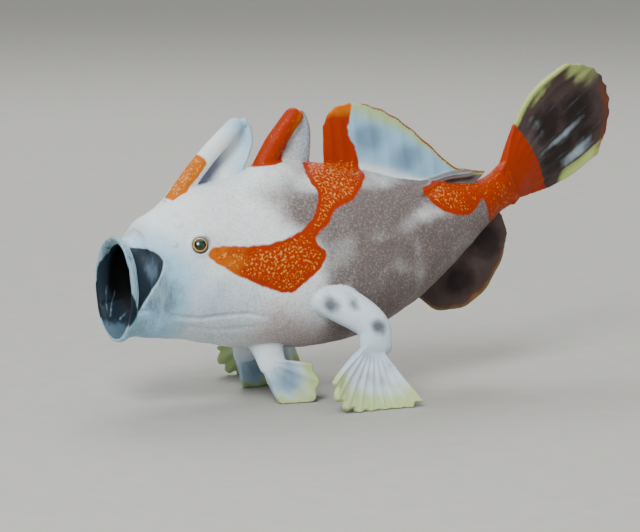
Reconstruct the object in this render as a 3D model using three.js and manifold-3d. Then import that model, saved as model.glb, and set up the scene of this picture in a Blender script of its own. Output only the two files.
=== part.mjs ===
// A young warty frogfish that stands on its paired fins and yawns, as a life-size display model.
// Units are millimetres. +Z is up, the snout points to -X and the fish's left side faces -Y.
// Lengths are measured from the middle of the gape, and heights from the floor.
import * as THREE from 'three';
import { mergeVertices } from 'three/addons/utils/BufferGeometryUtils.js';
import Module from 'manifold-3d';

const wasm = await Module();
wasm.setup();

// Driving dimensions
const FLOOR = 0.7; // level the fins stand on
const GAP = 0.3; // clear space between parts that touch
const JOINT_GAP = 0.0027; // the same as a share of the body's length, between its three parts
const RING_POINTS = 36; // points round a section of the body
const CREST_ROUNDNESS = 1.9; // 2 is an ellipse, less is a sharper back
const KEEL_ROUNDNESS = 2.3; // more is a fuller belly

// Stations of the body from the gape to the root of the tail fin. z is the widest level, up and
// down reach from it to the back and the belly, half is half the width, and pitch and yaw turn
// the section.
const BODY = [
  { x: 3.8, y: 0, z: 15.9, up: 7.1, down: 6.7, half: 6.3, pitch: 7, yaw: 0 }, // gape
  { x: 5.6, y: 0, z: 16.1, up: 8.0, down: 7.0, half: 6.9, pitch: 4, yaw: 0 }, // snout
  { x: 9.2, y: 0, z: 16.5, up: 10.4, down: 7.8, half: 7.4, pitch: 0, yaw: 0 }, // eye
  { x: 15, y: 0, z: 16.4, up: 11.7, down: 9.0, half: 8.2, pitch: 0, yaw: 0 }, // nape
  { x: 21, y: 0, z: 16.2, up: 13.8, down: 9.3, half: 8.7, pitch: 0, yaw: 0 }, // shoulder
  { x: 27, y: 0, z: 16.4, up: 13.2, down: 9.6, half: 8.6, pitch: 0, yaw: 0 }, // chest
  { x: 33.5, y: 0, z: 17.4, up: 11.2, down: 9.4, half: 7.6, pitch: 2, yaw: 0 }, // belly
  { x: 40, y: 0, z: 19.2, up: 7.9, down: 7.9, half: 5.8, pitch: 6, yaw: 2 }, // vent
  { x: 46.6, y: 0.3, z: 21.4, up: 5.0, down: 5.0, half: 3.8, pitch: 14, yaw: 6 }, // tail root
  { x: 52.2, y: 1.0, z: 23.4, up: 2.7, down: 2.8, half: 2.0, pitch: 24, yaw: 13 }, // tail stalk
  { x: 57.0, y: 2.2, z: 25.5, up: 2.9, down: 2.9, half: 0.95, pitch: 29, yaw: 18 }, // fin root
];
const HEAD_END = 0.44; // shares of the body's length where its parts meet
const TORSO_END = 0.8;
const HEAD_RINGS = 17;
const TORSO_RINGS = 12;
const TAIL_RINGS = 8;

// The gape, a short tube of lips and cheek skin in front of the head. lip is the depth of the
// rolled lip, wall the half thickness of the skin behind it, inside the whole depth of the tube.
const GAPE = { x: 0.3, z: 15.5, up: 6.4, down: 6.5, half: 5.7, lip: 0.62, wall: 0.3, inside: 1.15 };
const JAW_STEPS = 46; // steps round the whole gape
const MOUTH_CORNER = -24; // degrees below the widest level, where the two jaws meet
const JAW_SEAM = 1.5; // degrees that each jaw stops short of the corner
const THROAT = { x: 12.5, z: 16, up: 3.2, down: 3.3, half: 3.0 };

const EYE = { x: 8.9, z: 21.0, radius: 1.35, sunk: 0.75, lid: 0.3 };
const NOSTRILS = [
  { x: 5.9, z: 21.3 },
  { x: 7.0, z: 23.4 },
];
const NOSTRIL = { radius: 0.5, bore: 0.22, height: 0.55, sunk: 0.8 };
const GILL_PORE = { x: 31.6, z: 11.2 };

const FIN = { web: 0.27, ray: 0.16, root: 0.95, rootLength: 0.22, rim: 0.25 }; // half thicknesses
const PAW = { palm: 0.55, rim: 0.3, ray: 0.24 }; // half thicknesses of the paired fins' fans
const SKIN = 0xe4e6ea;
const ORANGE = 0xdb4f12;
const FIN_WHITE = 0xd5e2dc;

const { degToRad, lerp, clamp, smoothstep } = THREE.MathUtils;
const point = (x, y, z) => new THREE.Vector3(x, y, z);

// Smooth reading of a row of named sizes at a share t of its length, exact at each station.
function station(rows, t) {
  const sizes = {};
  for (const key of Object.keys(rows[0])) {
    const curve = new THREE.SplineCurve(rows.map((row, i) => new THREE.Vector2(i, row[key])));
    sizes[key] = curve.getPoint(t).y;
  }
  return sizes;
}

// A smooth line in the fish's middle plane through a few places, each an [x, z] pair.
const line = (...places) => new THREE.SplineCurve(places.map(([x, z]) => new THREE.Vector2(x, z)));

// Signed power, for sections between an ellipse and a box.
const power = (value, exponent) => Math.sign(value) * Math.abs(value) ** exponent;

// Solids and meshes
function solid(positions, index) {
  const geometry = new THREE.BufferGeometry();
  const flat = positions.flatMap((p) => p.toArray());
  geometry.setAttribute('position', new THREE.Float32BufferAttribute(flat, 3));
  geometry.setIndex(index);
  return solidFrom(geometry);
}

function solidFrom(geometry) {
  geometry.deleteAttribute('normal');
  geometry.deleteAttribute('uv');
  const merged = mergeVertices(geometry, 1e-4);
  const corners = merged.index.array;
  const kept = [];
  for (let i = 0; i < corners.length; i += 3) {
    const [a, b, c] = corners.subarray(i, i + 3);
    if (a !== b && b !== c && c !== a) kept.push(a, b, c);
  }
  const made = new wasm.Manifold(new wasm.Mesh({
    numProp: 3,
    vertProperties: merged.attributes.position.array,
    triVerts: new Uint32Array(kept),
  }));
  if (made.volume() < 0) throw new Error('a piece is inside out');
  return made;
}

// Only the largest closed piece, so that no loose scrap of a cut stays.
function largest(made) {
  return made.decompose().reduce((a, b) => (b.volume() > a.volume() ? b : a));
}

const join = (...solids) => solids.reduce((a, b) => a.add(b));
const trim = (made, ...cutters) => largest(cutters.reduce((a, b) => a.subtract(b), made));

function mesh(name, made, color, roughness = 0.55) {
  const { numProp, vertProperties, triVerts } = largest(made).getMesh();
  const geometry = new THREE.BufferGeometry();
  const flat = new Float32Array(vertProperties);
  geometry.setAttribute('position', new THREE.BufferAttribute(flat, numProp));
  geometry.setIndex(new THREE.BufferAttribute(new Uint32Array(triVerts), 1));
  geometry.computeVertexNormals();
  const finish = new THREE.MeshStandardMaterial({ color, roughness, metalness: 0 });
  const piece = new THREE.Mesh(geometry, finish);
  piece.name = name;
  return piece;
}

// Skin over a row of rings with as many points each, closed by a fan at each end.
function loft(rings) {
  const count = rings[0].length;
  const positions = rings.flat();
  const index = [];
  for (let r = 0; r + 1 < rings.length; r++) {
    for (let i = 0; i < count; i++) {
      const a = r * count + i;
      const b = r * count + ((i + 1) % count);
      index.push(a, b, a + count, b, b + count, a + count);
    }
  }
  for (const first of [true, false]) {
    const ring = first ? rings[0] : rings.at(-1);
    const start = first ? 0 : (rings.length - 1) * count;
    const middle = positions.length;
    positions.push(ring.reduce((sum, p) => sum.add(p), point(0, 0, 0)).divideScalar(count));
    for (let i = 0; i < count; i++) {
      const a = start + i;
      const b = start + ((i + 1) % count);
      index.push(...(first ? [a, middle, b] : [a, b, middle]));
    }
  }
  return solid(positions, index);
}

// A thin sheet: place(u, v) is its middle and half(u, v) half its thickness. Both faces split alike.
function sheet(columns, rows, place, half) {
  const step = 1e-3;
  const positions = [];
  for (const side of [1, -1]) {
    for (let j = 0; j <= rows; j++) {
      for (let i = 0; i <= columns; i++) {
        const [u, v] = [i / columns, j / rows];
        const along = place(Math.min(u + step, 1), v).sub(place(Math.max(u - step, 0), v));
        const out = place(u, Math.min(v + step, 1)).sub(place(u, Math.max(v - step, 0)));
        const normal = along.cross(out).normalize();
        positions.push(place(u, v).addScaledVector(normal, side * half(u, v)));
      }
    }
  }
  const width = columns + 1;
  const back = width * (rows + 1);
  const index = [];
  for (let j = 0; j < rows; j++) {
    for (let i = 0; i < columns; i++) {
      const a = j * width + i;
      const [b, c, d] = [a + 1, a + width, a + width + 1];
      index.push(a, b, d, a, d, c);
      index.push(a + back, d + back, b + back, a + back, c + back, d + back);
    }
  }
  const rim = [];
  for (let i = 0; i < columns; i++) rim.push(i);
  for (let j = 0; j < rows; j++) rim.push(j * width + columns);
  for (let i = columns; i > 0; i--) rim.push(rows * width + i);
  for (let j = rows; j > 0; j--) rim.push(j * width);
  rim.forEach((a, k) => {
    const b = rim[(k + 1) % rim.length];
    index.push(a, a + back, b, b, a + back, b + back);
  });
  return solid(positions, index);
}

// The body
function bodyFrame(t) {
  const size = station(BODY, t);
  const [pitch, yaw] = [degToRad(size.pitch), degToRad(size.yaw)];
  return {
    ...size,
    middle: point(size.x, size.y, size.z),
    along: point(Math.cos(pitch) * Math.cos(yaw), Math.cos(pitch) * Math.sin(yaw), Math.sin(pitch)),
    top: point(-Math.sin(pitch) * Math.cos(yaw), -Math.sin(pitch) * Math.sin(yaw), Math.cos(pitch)),
    right: point(-Math.sin(yaw), Math.cos(yaw), 0),
  };
}

// A place on the skin: angle 0 is the right flank, 90 the back. grow moves it outwards.
function skinPoint(t, angle, grow = 0) {
  const frame = bodyFrame(t);
  const [c, s] = [Math.cos(angle), Math.sin(angle)];
  const round = 2 / (s > 0 ? CREST_ROUNDNESS : KEEL_ROUNDNESS);
  return frame.middle
    .addScaledVector(frame.right, (frame.half + grow) * power(c, round))
    .addScaledVector(frame.top, ((s > 0 ? frame.up : frame.down) + grow) * power(s, round));
}

function bodyRing(t, grow = 0, share = 1) {
  const middle = bodyFrame(t).middle;
  return Array.from({ length: RING_POINTS }, (_, i) =>
    skinPoint(t, (2 * Math.PI * i) / RING_POINTS, grow).lerp(middle, 1 - share));
}

function bodySolid(from, to, rings, grow = 0) {
  return loft(Array.from({ length: rings + 1 }, (_, i) => bodyRing(lerp(from, to, i / rings), grow)));
}

// The place on one flank at a given length and height, with the way out of the skin there.
function flank(x, z, side) {
  let [low, high] = [0, 0.8];
  let angle = 0;
  for (let i = 0; i < 30; i++) {
    const t = (low + high) / 2;
    const frame = bodyFrame(t);
    const lift = z - frame.z;
    const reach = lift > 0 ? frame.up : frame.down;
    const round = (lift > 0 ? CREST_ROUNDNESS : KEEL_ROUNDNESS) / 2;
    angle = Math.asin(clamp(power(lift / reach, round), -1, 1));
    if (skinPoint(t, angle).x > x) high = t;
    else low = t;
  }
  const t = (low + high) / 2;
  const here = skinPoint(t, angle);
  const round = skinPoint(t, angle + 0.02).sub(here);
  const back = skinPoint(t + 0.01, angle).sub(here);
  const normal = round.cross(back).normalize();
  here.y *= side;
  normal.y *= side;
  return { here, normal: normal.multiplyScalar(Math.sign(normal.y) === side ? 1 : -1) };
}

const grownBody = bodySolid(0, 1, 48, GAP);

// The mouth's hollow runs from in front of the lips back to the throat, as wide as the gape at
// first and narrower after that.
function hollow() {
  const rings = [];
  const steps = 7;
  const around = 30;
  const front = GAPE.x - 1.5;
  for (let i = 0; i <= steps; i++) {
    const depth = i / steps;
    const narrow = smoothstep(depth, 0.15, 1);
    const x = lerp(front, THROAT.x, depth);
    const size = { z: lerp(GAPE.z, THROAT.z, narrow) };
    for (const key of ['up', 'down', 'half']) {
      size[key] = lerp(GAPE[key] - GAPE.inside, THROAT[key], narrow);
    }
    rings.push(Array.from({ length: around }, (_, k) => {
      const angle = (2 * Math.PI * k) / around;
      const [c, s] = [Math.cos(angle), Math.sin(angle)];
      return point(x, size.half * c, size.z + (s > 0 ? size.up : size.down) * s);
    }));
  }
  return loft(rings);
}

// A jaw: the profile of lip and cheek swept round part of the gape. Each place of the profile is
// its share of the way from the lips back to the head, and how far it stands outside the gape.
function jaw(fromDegrees, toDegrees) {
  const steps = Math.round((JAW_STEPS * (toDegrees - fromDegrees)) / 360);
  const face = bodyFrame(0);
  const middle = lerp(GAPE.z, face.z, 0.5);
  const slope = Math.tan(degToRad(face.pitch));
  const { lip, wall, inside } = GAPE;
  const outer = [[0.03, -lip], [0, -lip * 0.4], [0.08, 0.04], [0.3, -lip * 0.4],
    [0.6, -lip * 0.55], [0.82, -lip * 0.2], [1, 0.1]];
  const inner = [[1, -inside], [0.82, -lip * 0.2 - 2 * wall], [0.6, -lip * 0.55 - 2 * wall],
    [0.34, -lip * 0.4 - 2 * wall], [0.2, -inside], [0.12, -inside - 0.1], [0.06, -inside]];
  const rings = [];
  for (let i = 0; i <= steps; i++) {
    const angle = degToRad(lerp(fromDegrees, toDegrees, i / steps));
    const [c, s] = [Math.cos(angle), Math.sin(angle)];
    const reach = s > 0 ? GAPE.up : GAPE.down;
    rings.push([...outer, ...inner].map(([back, out]) => {
      const z = middle + (reach + out) * s;
      const rear = face.x - GAP - (z - face.z) * slope;
      return point(lerp(GAPE.x, rear, back), (GAPE.half + out) * c, z);
    }));
  }
  return sweep(rings);
}

// Skin over a row of alike bands, each the outer edge and then the inner edge back to its start.
function sweep(rings) {
  const count = rings[0].length;
  const last = (rings.length - 1) * count;
  const index = [];
  for (let a = 0; a < last; a++) {
    const b = a % count === count - 1 ? a + 1 - count : a + 1;
    index.push(a, a + count, b, b, a + count, b + count);
  }
  for (let i = 0; i + 1 < count / 2; i++) {
    const [a, b, c, d] = [i, i + 1, count - 2 - i, count - 1 - i];
    index.push(a, b, d, b, c, d, last + a, last + d, last + b, last + b, last + d, last + c);
  }
  return solid(rings.flat(), index);
}

// Fins
// 1 on the line of a ray and 0 midway between two.
const onRay = (u, rays) => 1 - Math.abs(((u * (rays - 1) + 0.5) % 1) - 0.5) * 2;

// Half thickness of a rayed fin: fleshy at the root, thin web between rounded rays, and thinner
// at the rim.
function rayed(rays, root = FIN.root, rootLength = FIN.rootLength) {
  return (u, v) => {
    const ridge = FIN.ray * Math.max(0, onRay(u, rays)) ** 0.8 * smoothstep(v, 0, 0.2);
    const flesh = (root - FIN.web) * (1 - smoothstep(v, 0, rootLength));
    return lerp(FIN.web + flesh + ridge, FIN.rim + ridge * 0.4, smoothstep(v, 0.75, 1));
  };
}

// Scallops of a fin's rim: 1 at a ray's tip and less between two, with rounder tips where blunt
// is high.
function scallop(u, rays, depth, blunt = 1) {
  const notch = (1 - Math.cos(2 * Math.PI * u * (rays - 1))) / 2;
  return 1 - depth * notch ** blunt;
}

// Share of its size that a rod keeps towards a rounded end.
const domed = (t, from) => Math.sqrt(1 - 0.85 * clamp((t - from) / (1 - from), 0, 1) ** 2);

// A rounded rod along a line, with a radius across and a radius fore and aft at each share of it.
function rod(places, radii, sides = 10, steps = 8) {
  const curve = new THREE.CatmullRomCurve3(places);
  const rings = [];
  for (let k = 0; k <= steps; k++) {
    const t = k / steps;
    const forward = curve.getTangent(t);
    const right = new THREE.Vector3().crossVectors(forward, point(1, 0, 0)).normalize();
    const fore = new THREE.Vector3().crossVectors(forward, right);
    const [across, deep] = radii(t);
    rings.push(Array.from({ length: sides }, (_, i) => {
      const angle = (2 * Math.PI * i) / sides;
      return curve.getPoint(t)
        .addScaledVector(right, across * Math.cos(angle))
        .addScaledVector(fore, deep * Math.sin(angle));
    }));
  }
  return loft(rings);
}

// The tail fin: a fan from its root half height, spread by more, shorter at its edges than in the
// middle. sink is how far its root reaches into the tail.
const TAIL_FIN = {
  pitch: 29.5, yaw: 20, rays: 9, length: 22.6, shorten: 0.26, scallop: 0.012,
  rootHalf: 2.7, spread: 4.4, bow: 0.9, sink: 1.6,
};

function tailFin() {
  const { pitch, yaw, rays, length, shorten, rootHalf, spread, bow, sink } = TAIL_FIN;
  const [p, q] = [degToRad(pitch), degToRad(yaw)];
  const along = point(Math.cos(p) * Math.cos(q), Math.cos(p) * Math.sin(q), Math.sin(p));
  const top = point(-Math.sin(p) * Math.cos(q), -Math.sin(p) * Math.sin(q), Math.cos(p));
  const right = point(-Math.sin(q), Math.cos(q), 0);
  const root = bodyFrame(1).middle;
  const place = (u, v) => {
    const across = 2 * u - 1;
    const notched = lerp(1, scallop(u, rays, TAIL_FIN.scallop), v);
    const reach = length * (1 - shorten * Math.abs(across) ** 2.4) * notched;
    const open = rootHalf + spread * Math.sin((Math.PI / 2) * clamp((v - 0.1) / 0.72, 0, 1));
    return root.clone()
      .addScaledVector(along, lerp(-sink, reach, v))
      .addScaledVector(top, across * open)
      .addScaledVector(right, bow * Math.sin(Math.PI * v) * (0.4 + across * across));
  };
  return sheet(3 * (rays - 1), 9, place, rayed(rays, 0.8, 0.4));
}

// A fin between a line inside the body and a line through its rim, both in the middle plane.
function middleFin({ rays, base, rim, bow, rows = 7 }) {
  const place = (u, v) => {
    const low = base.getPoint(u);
    const high = rim.getPoint(u);
    const share = v * lerp(1, scallop(u, rays, 0.015), v);
    const x = lerp(low.x, high.x, share);
    return point(x, bow(u, v), lerp(low.y, high.y, share));
  };
  return sheet(3 * (rays - 1), rows, place, rayed(rays));
}

const SOFT_DORSAL = {
  rays: 12,
  base: line([28.9, 28.2], [33.4, 27.3], [39.6, 25.6], [45.2, 25.0], [50, 25.3]),
  rim: line([28.7, 34.0], [29.8, 36.1], [32.4, 36.85], [35.8, 36.15], [39.3, 34.3], [43.2, 31.35],
    [47.5, 28.05], [52.2, 27.2]),
  bow: (u, v) => -0.9 * Math.sin(Math.PI * u) * v + 0.5 * smoothstep(u, 0.6, 1),
};

const ANAL_FIN = {
  rays: 7,
  base: line([42.6, 14.0], [46.6, 17.2], [50, 19.6], [53.0, 22.6]),
  rim: line([42.4, 11.6], [45.6, 9.6], [50.6, 10.4], [54.2, 14.2], [55.6, 18.4], [54.8, 21.4]),
  bow: (u, v) => 0.5 * smoothstep(u, 0.2, 1) + 0.5 * v * Math.sin(Math.PI * u),
};

// A dorsal spine under thick skin, with the web behind it down to the back. The web bows to the
// right, and its free edge is a thicker rim.
const SECOND_SPINE = {
  foot: [8.0, 25.2], tip: [17.3, 35.2], radius: 1.25, tipRadius: 1.05, bow: 1.4,
  rim: line([15.6, 26.0], [17.9, 29.4], [19.0, 32.2], [18.85, 34.1], [18.35, 34.95], [17.75, 35.3]),
};
const THIRD_SPINE = {
  foot: [19.6, 27.8], tip: [25.3, 36.15], radius: 1.4, tipRadius: 1.15, bow: 0.5,
  rim: line([26.3, 28.2], [26.8, 31.0], [26.95, 33.3], [26.7, 34.7], [26.3, 35.6], [25.75, 36.05]),
};
const SPINE_WEB = { rim: 0.22, root: 0.35 }; // added half thickness at the rim and the root

function dorsalSpine({ foot, tip, radius, tipRadius, bow, rim }) {
  const [start, end] = [point(foot[0], 0, foot[1]), point(tip[0], 0, tip[1])];
  const bend = start.clone().lerp(end, 0.5).add(point(-0.3, 0, 0.3));
  const spine = rod([start, bend, end], (t) => {
    const size = lerp(radius, tipRadius, t) * domed(t, 0.86);
    return [size * 0.85, size];
  }, 12, 12);
  const place = (u, v) => {
    const front = start.clone().lerp(end, 0.96 * v);
    const back = rim.getPoint(v);
    const out = bow * Math.sin(Math.PI * u) * (0.4 + 0.6 * Math.sin(Math.PI * v));
    return point(lerp(front.x, back.x, u), out, lerp(front.z, back.y, u));
  };
  const half = (u, v) => FIN.web + SPINE_WEB.rim * smoothstep(u, 0.7, 1)
    + SPINE_WEB.root * (1 - smoothstep(v, 0.1, 0.4));
  return join(spine, sheet(8, 9, place, half));
}

// The fishing rod, laid back along the right of the second spine, with its leaf-shaped lure.
const ROD = {
  places: [[6.7, 1.0, 24.6], [9.6, 2.1, 27.4], [12.9, 2.5, 30.6], [16.2, 2.4, 33.9]],
  radius: 0.3,
  tipRadius: 0.27,
};
const LURE = { length: 3.2, height: 0.75, edge: 0.22, middle: 0.35, overlap: 0.4 };

function fishingRod() {
  const places = ROD.places.map((place) => point(...place));
  const stalk = rod(places, (t) => [ROD.radius, lerp(ROD.radius, ROD.tipRadius, t)], 8, 12);
  const place = (u, v) => {
    const wide = LURE.height * (0.25 + Math.sin(Math.PI * Math.min(1, v * 1.15)));
    const across = (2 * u - 1) * wide;
    const ahead = v * LURE.length - LURE.overlap;
    return places.at(-1).clone().add(point(ahead - across * 0.5, 0.3 * v, v * 0.9 + across));
  };
  const half = (u, v) => {
    const swell = Math.sin(Math.PI * u) * Math.sin(Math.PI * Math.min(1, v + 0.1));
    return lerp(LURE.edge, LURE.middle, swell);
  };
  return join(stalk, sheet(6, 8, place, half));
}

// The paired fins. Each is a fleshy limb and a fan of thick rays whose tips stand on the floor.
// An angle of 0 points a ray to the rear and 90 points it down. out is measured away from the body.
const ARM = {
  places: [[24.6, 5.5, 14.2], [26.8, 8.8, 13.0], [29.8, 11.3, 10.4], [29.7, 12.2, 6.9]],
  across: [2.3, 2.0, 1.6, 1.0], deep: [3.2, 2.8, 2.2, 2.3],
};
const HAND = {
  rays: 9, pivot: [29.4, 11.9, 9.0], from: 56, to: 148, root: 1.2, splay: 0.24, curl: 1.4,
  lengths: [9.2, 9.4, 9.0, 8.8, 8.9, 9.2, 9.5, 9.3, 8.2], lobes: 0.07, columns: 3,
};
const LEG = {
  places: [[18.9, 2.6, 9.4], [19.2, 3.9, 7.0], [19.6, 4.9, 4.7]],
  across: [1.9, 1.25, 0.8], deep: [2.7, 2.0, 1.4],
};
const FOOT = {
  rays: 5, pivot: [17.5, 4.5, 6.4], from: 8, to: 69, root: 2.0, splay: 0.18, curl: 0.7,
  lengths: [6.6, 8.0, 8.6, 8.0, 6.2], lobes: 0.05, columns: 4,
};

// Smooth reading of a row of numbers at a share t of its length.
function reading(row, t) {
  return new THREE.SplineCurve(row.map((value, i) => new THREE.Vector2(i, value))).getPoint(t).y;
}

function limb({ places, across, deep }, side, shift, grow = 0) {
  const middles = places.map(([x, out, z]) => point(x + shift, side * out, z));
  const sizes = (t) => [across, deep].map((row) => reading(row, t) * domed(t, 0.84) + grow);
  return rod(middles, sizes, 14, 10);
}

function paw({ rays, pivot, from, to, root, splay, curl, lengths, lobes, columns }, side, shift) {
  const place = (u, v) => {
    const angle = degToRad(lerp(from, to, u));
    const length = reading(lengths, u) * lerp(1, scallop(u, rays, lobes, 2), v);
    const r = lerp(root, length, v);
    const out = pivot[1] + r * splay + curl * v * v;
    const x = pivot[0] + shift + r * Math.cos(angle);
    return point(x, side * out, pivot[2] - r * Math.sin(angle));
  };
  const half = (u, v) => {
    const ridge = PAW.ray * Math.max(0, onRay(u, rays)) ** 0.7 * smoothstep(v, 0, 0.3);
    const thin = 1 - 0.4 * smoothstep(v, 0.8, 1);
    return lerp(PAW.palm, PAW.rim, smoothstep(v, 0.1, 0.8)) + ridge * thin;
  };
  return sheet(columns * (rays - 1), 7, place, half);
}

// A ring or a crater turned to stand on the skin
function turned(geometry, here, normal) {
  const turn = new THREE.Quaternion().setFromUnitVectors(point(0, 0, 1), normal);
  return solidFrom(geometry.applyQuaternion(turn).translate(here.x, here.y, here.z));
}

function eyePlace(side) {
  const { here, normal } = flank(EYE.x, EYE.z, side);
  return { middle: here.clone().addScaledVector(normal, -EYE.sunk), here, normal };
}

function eyeBall(side, grow = 0) {
  const { x, y, z } = eyePlace(side).middle;
  return solidFrom(new THREE.SphereGeometry(EYE.radius + grow, 18, 12).translate(x, y, z));
}

function lid(side) {
  const { here, normal } = eyePlace(side);
  return turned(new THREE.TorusGeometry(EYE.radius, EYE.lid, 8, 20), here, normal);
}

// A small tube that stands on the skin, a nostril or the pore the gills breathe out through.
function pore({ x, z }, side) {
  const { radius, bore, height, sunk } = NOSTRIL;
  const { here, normal } = flank(x, z, side);
  const profile = [[0, -sunk], [radius * 1.3, -sunk], [radius, height * 0.8],
    [radius * 0.7, height], [bore, height * 0.8], [0, 0]];
  const corners = profile.map(([r, h]) => new THREE.Vector2(r, h));
  return turned(new THREE.LatheGeometry(corners, 10).rotateX(Math.PI / 2), here, normal);
}

// Building the fish
const floor = solidFrom(new THREE.BoxGeometry(300, 300, 60).translate(0, 0, FLOOR - 30));

function head() {
  const rings = [bodyRing(0, 0, 0.95)]; // a first ring drawn in, so that the front edge is round
  for (let i = 0; i <= HEAD_RINGS; i++) {
    rings.push(bodyRing(lerp(0.012, HEAD_END - JOINT_GAP, i / HEAD_RINGS)));
  }
  let made = loft(rings);
  for (const side of [-1, 1]) {
    made = join(made, lid(side), ...NOSTRILS.map((place) => pore(place, side)));
  }
  return trim(made, hollow(), eyeBall(-1, GAP), eyeBall(1, GAP));
}

function torso() {
  const flesh = bodySolid(HEAD_END + JOINT_GAP, TORSO_END - JOINT_GAP, TORSO_RINGS);
  return join(flesh, pore(GILL_PORE, -1), pore(GILL_PORE, 1));
}

const [corner, seam] = [MOUTH_CORNER, JAW_SEAM];
const fish = new THREE.Group();
fish.add(
  mesh('head', head(), SKIN),
  mesh('upper_jaw', jaw(corner + seam, 180 - corner - seam), 0xc3d3dc),
  mesh('lower_jaw', jaw(180 - corner + seam, 360 + corner - seam), 0xb4c6d0),
  mesh('torso', torso(), SKIN),
  mesh('tail', bodySolid(TORSO_END + JOINT_GAP, 1, TAIL_RINGS), ORANGE),
  mesh('caudal_fin', trim(tailFin(), grownBody), 0x5c5450),
  mesh('dorsal_fin', trim(middleFin(SOFT_DORSAL), grownBody), FIN_WHITE),
  mesh('dorsal_spine_2', trim(dorsalSpine(SECOND_SPINE), grownBody), SKIN),
  mesh('dorsal_spine_3', trim(dorsalSpine(THIRD_SPINE), grownBody), ORANGE),
  mesh('fishing_rod', trim(fishingRod(), grownBody), 0xcfc8c0),
  mesh('anal_fin', trim(middleFin(ANAL_FIN), grownBody), 0x8a827c),
);
for (const [word, side, armShift, legShift] of [['left', -1, 0, 0], ['right', 1, -1.2, 0.9]]) {
  const arm = limb(ARM, side, armShift);
  const aroundArm = limb(ARM, side, armShift, GAP);
  const hand = trim(paw(HAND, side, armShift), aroundArm, grownBody, floor);
  const foot = join(limb(LEG, side, legShift), paw(FOOT, side, legShift));
  fish.add(
    mesh(`eye_${word}`, eyeBall(side), 0x1d2a17, 0.15),
    mesh(`pectoral_arm_${word}`, trim(arm, grownBody), SKIN),
    mesh(`pectoral_fin_${word}`, hand, FIN_WHITE),
    mesh(`pelvic_fin_${word}`, trim(foot, grownBody, floor), FIN_WHITE),
  );
}

// The origin goes to the middle of the footprint, on the floor.
const extent = new THREE.Box3().setFromObject(fish);
const middle = extent.getCenter(new THREE.Vector3());
fish.position.set(-middle.x, -middle.y, -extent.min.z);

export default fish;
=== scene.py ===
"""Display model of a young warty frogfish that stands on its paired fins and yawns.

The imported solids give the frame: +Z up, the snout to -X, the fish's left side to -Y. The skin is
worked out here in millimetres from the fish's own sections, fused into one surface and scaled to
metres. Its markings are fields over that surface, which the skin material turns into colour.
"""
import logging
import math
from dataclasses import dataclass, field
from enum import Enum, IntEnum
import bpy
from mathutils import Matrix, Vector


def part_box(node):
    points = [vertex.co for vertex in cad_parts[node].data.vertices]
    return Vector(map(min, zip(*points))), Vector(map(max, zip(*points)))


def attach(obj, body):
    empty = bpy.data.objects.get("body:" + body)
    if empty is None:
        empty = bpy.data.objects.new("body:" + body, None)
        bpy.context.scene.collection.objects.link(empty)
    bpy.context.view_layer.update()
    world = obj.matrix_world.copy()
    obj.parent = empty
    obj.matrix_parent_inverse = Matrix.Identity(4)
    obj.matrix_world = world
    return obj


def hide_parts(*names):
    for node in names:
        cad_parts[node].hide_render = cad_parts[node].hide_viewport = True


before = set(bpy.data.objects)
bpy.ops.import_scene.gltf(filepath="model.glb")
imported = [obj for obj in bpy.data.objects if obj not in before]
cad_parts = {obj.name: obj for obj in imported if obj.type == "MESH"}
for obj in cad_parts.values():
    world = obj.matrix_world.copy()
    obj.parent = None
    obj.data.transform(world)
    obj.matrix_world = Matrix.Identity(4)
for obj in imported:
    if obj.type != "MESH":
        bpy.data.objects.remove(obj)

from types import SimpleNamespace
from typing import Any, Callable

import bpy
import numpy as np
from mathutils import Vector, kdtree

log = logging.getLogger("frogfish")

MM = 0.001  # metres in a millimetre
FLOOR = 0.7  # level that the fins stand on, in the fish's own heights
GAPE_X = 0.3  # place of the lips along the fish
EYE = (8.9, 21.0)  # place of the eyes along the fish and up
VOXEL = 0.14  # grid of the fused skin, in millimetres
OUTSIDE = -3.0  # a patch's field well outside the patch, in millimetres
TURN = 2 * math.pi
Field = np.ndarray
Fields = dict[str, np.ndarray]
Table = tuple[tuple[float, ...], ...]
Node = bpy.types.Node
Tree = bpy.types.NodeTree
Object = bpy.types.Object


class Side(Enum):
    """The two sides of the fish, with the sign of Y there."""

    LEFT = -1
    RIGHT = 1


class Part(IntEnum):
    """The stretch of skin that a point belongs to."""

    BODY = 0
    FACE = 1
    MOUTH = 2
    SPINE = 3
    WEB = 4
    DORSAL = 5
    TAIL_FIN = 6
    ANAL = 7
    ARM = 8
    HAND = 9
    LEG = 10
    FOOT = 11
    ROD = 12
    LID = 13


RAYS = {Part.DORSAL: 12, Part.TAIL_FIN: 9, Part.ANAL: 7, Part.HAND: 9, Part.FOOT: 5}


def colour(code: str) -> tuple[float, ...]:
    """Turns an sRGB hex code into linear red, green, blue and alpha."""
    parts = [int(code[i : i + 2], 16) / 255 for i in (1, 3, 5)]
    return (*[c / 12.92 if c <= 0.04045 else ((c + 0.055) / 1.055) ** 2.4 for c in parts], 1.0)


def smooth(value: Field, low: float, high: float) -> Field:
    """Gives 0 below low, 1 above high and a soft step between them."""
    t = np.clip((value - low) / (high - low), 0.0, 1.0)
    return t * t * (3 - 2 * t)


def fade(value: Field, low: float, high: float) -> Field:
    """Gives 1 below low, 0 above high and a soft step between them."""
    return 1 - smooth(value, low, high)


def bell(value: Field, middle: Field | float, width: float) -> Field:
    """Gives 1 at the middle and falls softly to 0 on both sides."""
    return np.exp(-(((value - middle) / width) ** 2))


def oval(x: Field, z: Field, middle: tuple[float, float], width: float, height: float) -> Field:
    """Gives a soft oval, 1 in its middle and 0 well outside."""
    return np.exp(-(((x - middle[0]) / width) ** 2) - ((z - middle[1]) / height) ** 2)


def mix(a: Field, b: Field, t: Field) -> Field:
    """Blends a into b by the share t."""
    return a + (b - a) * t


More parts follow.
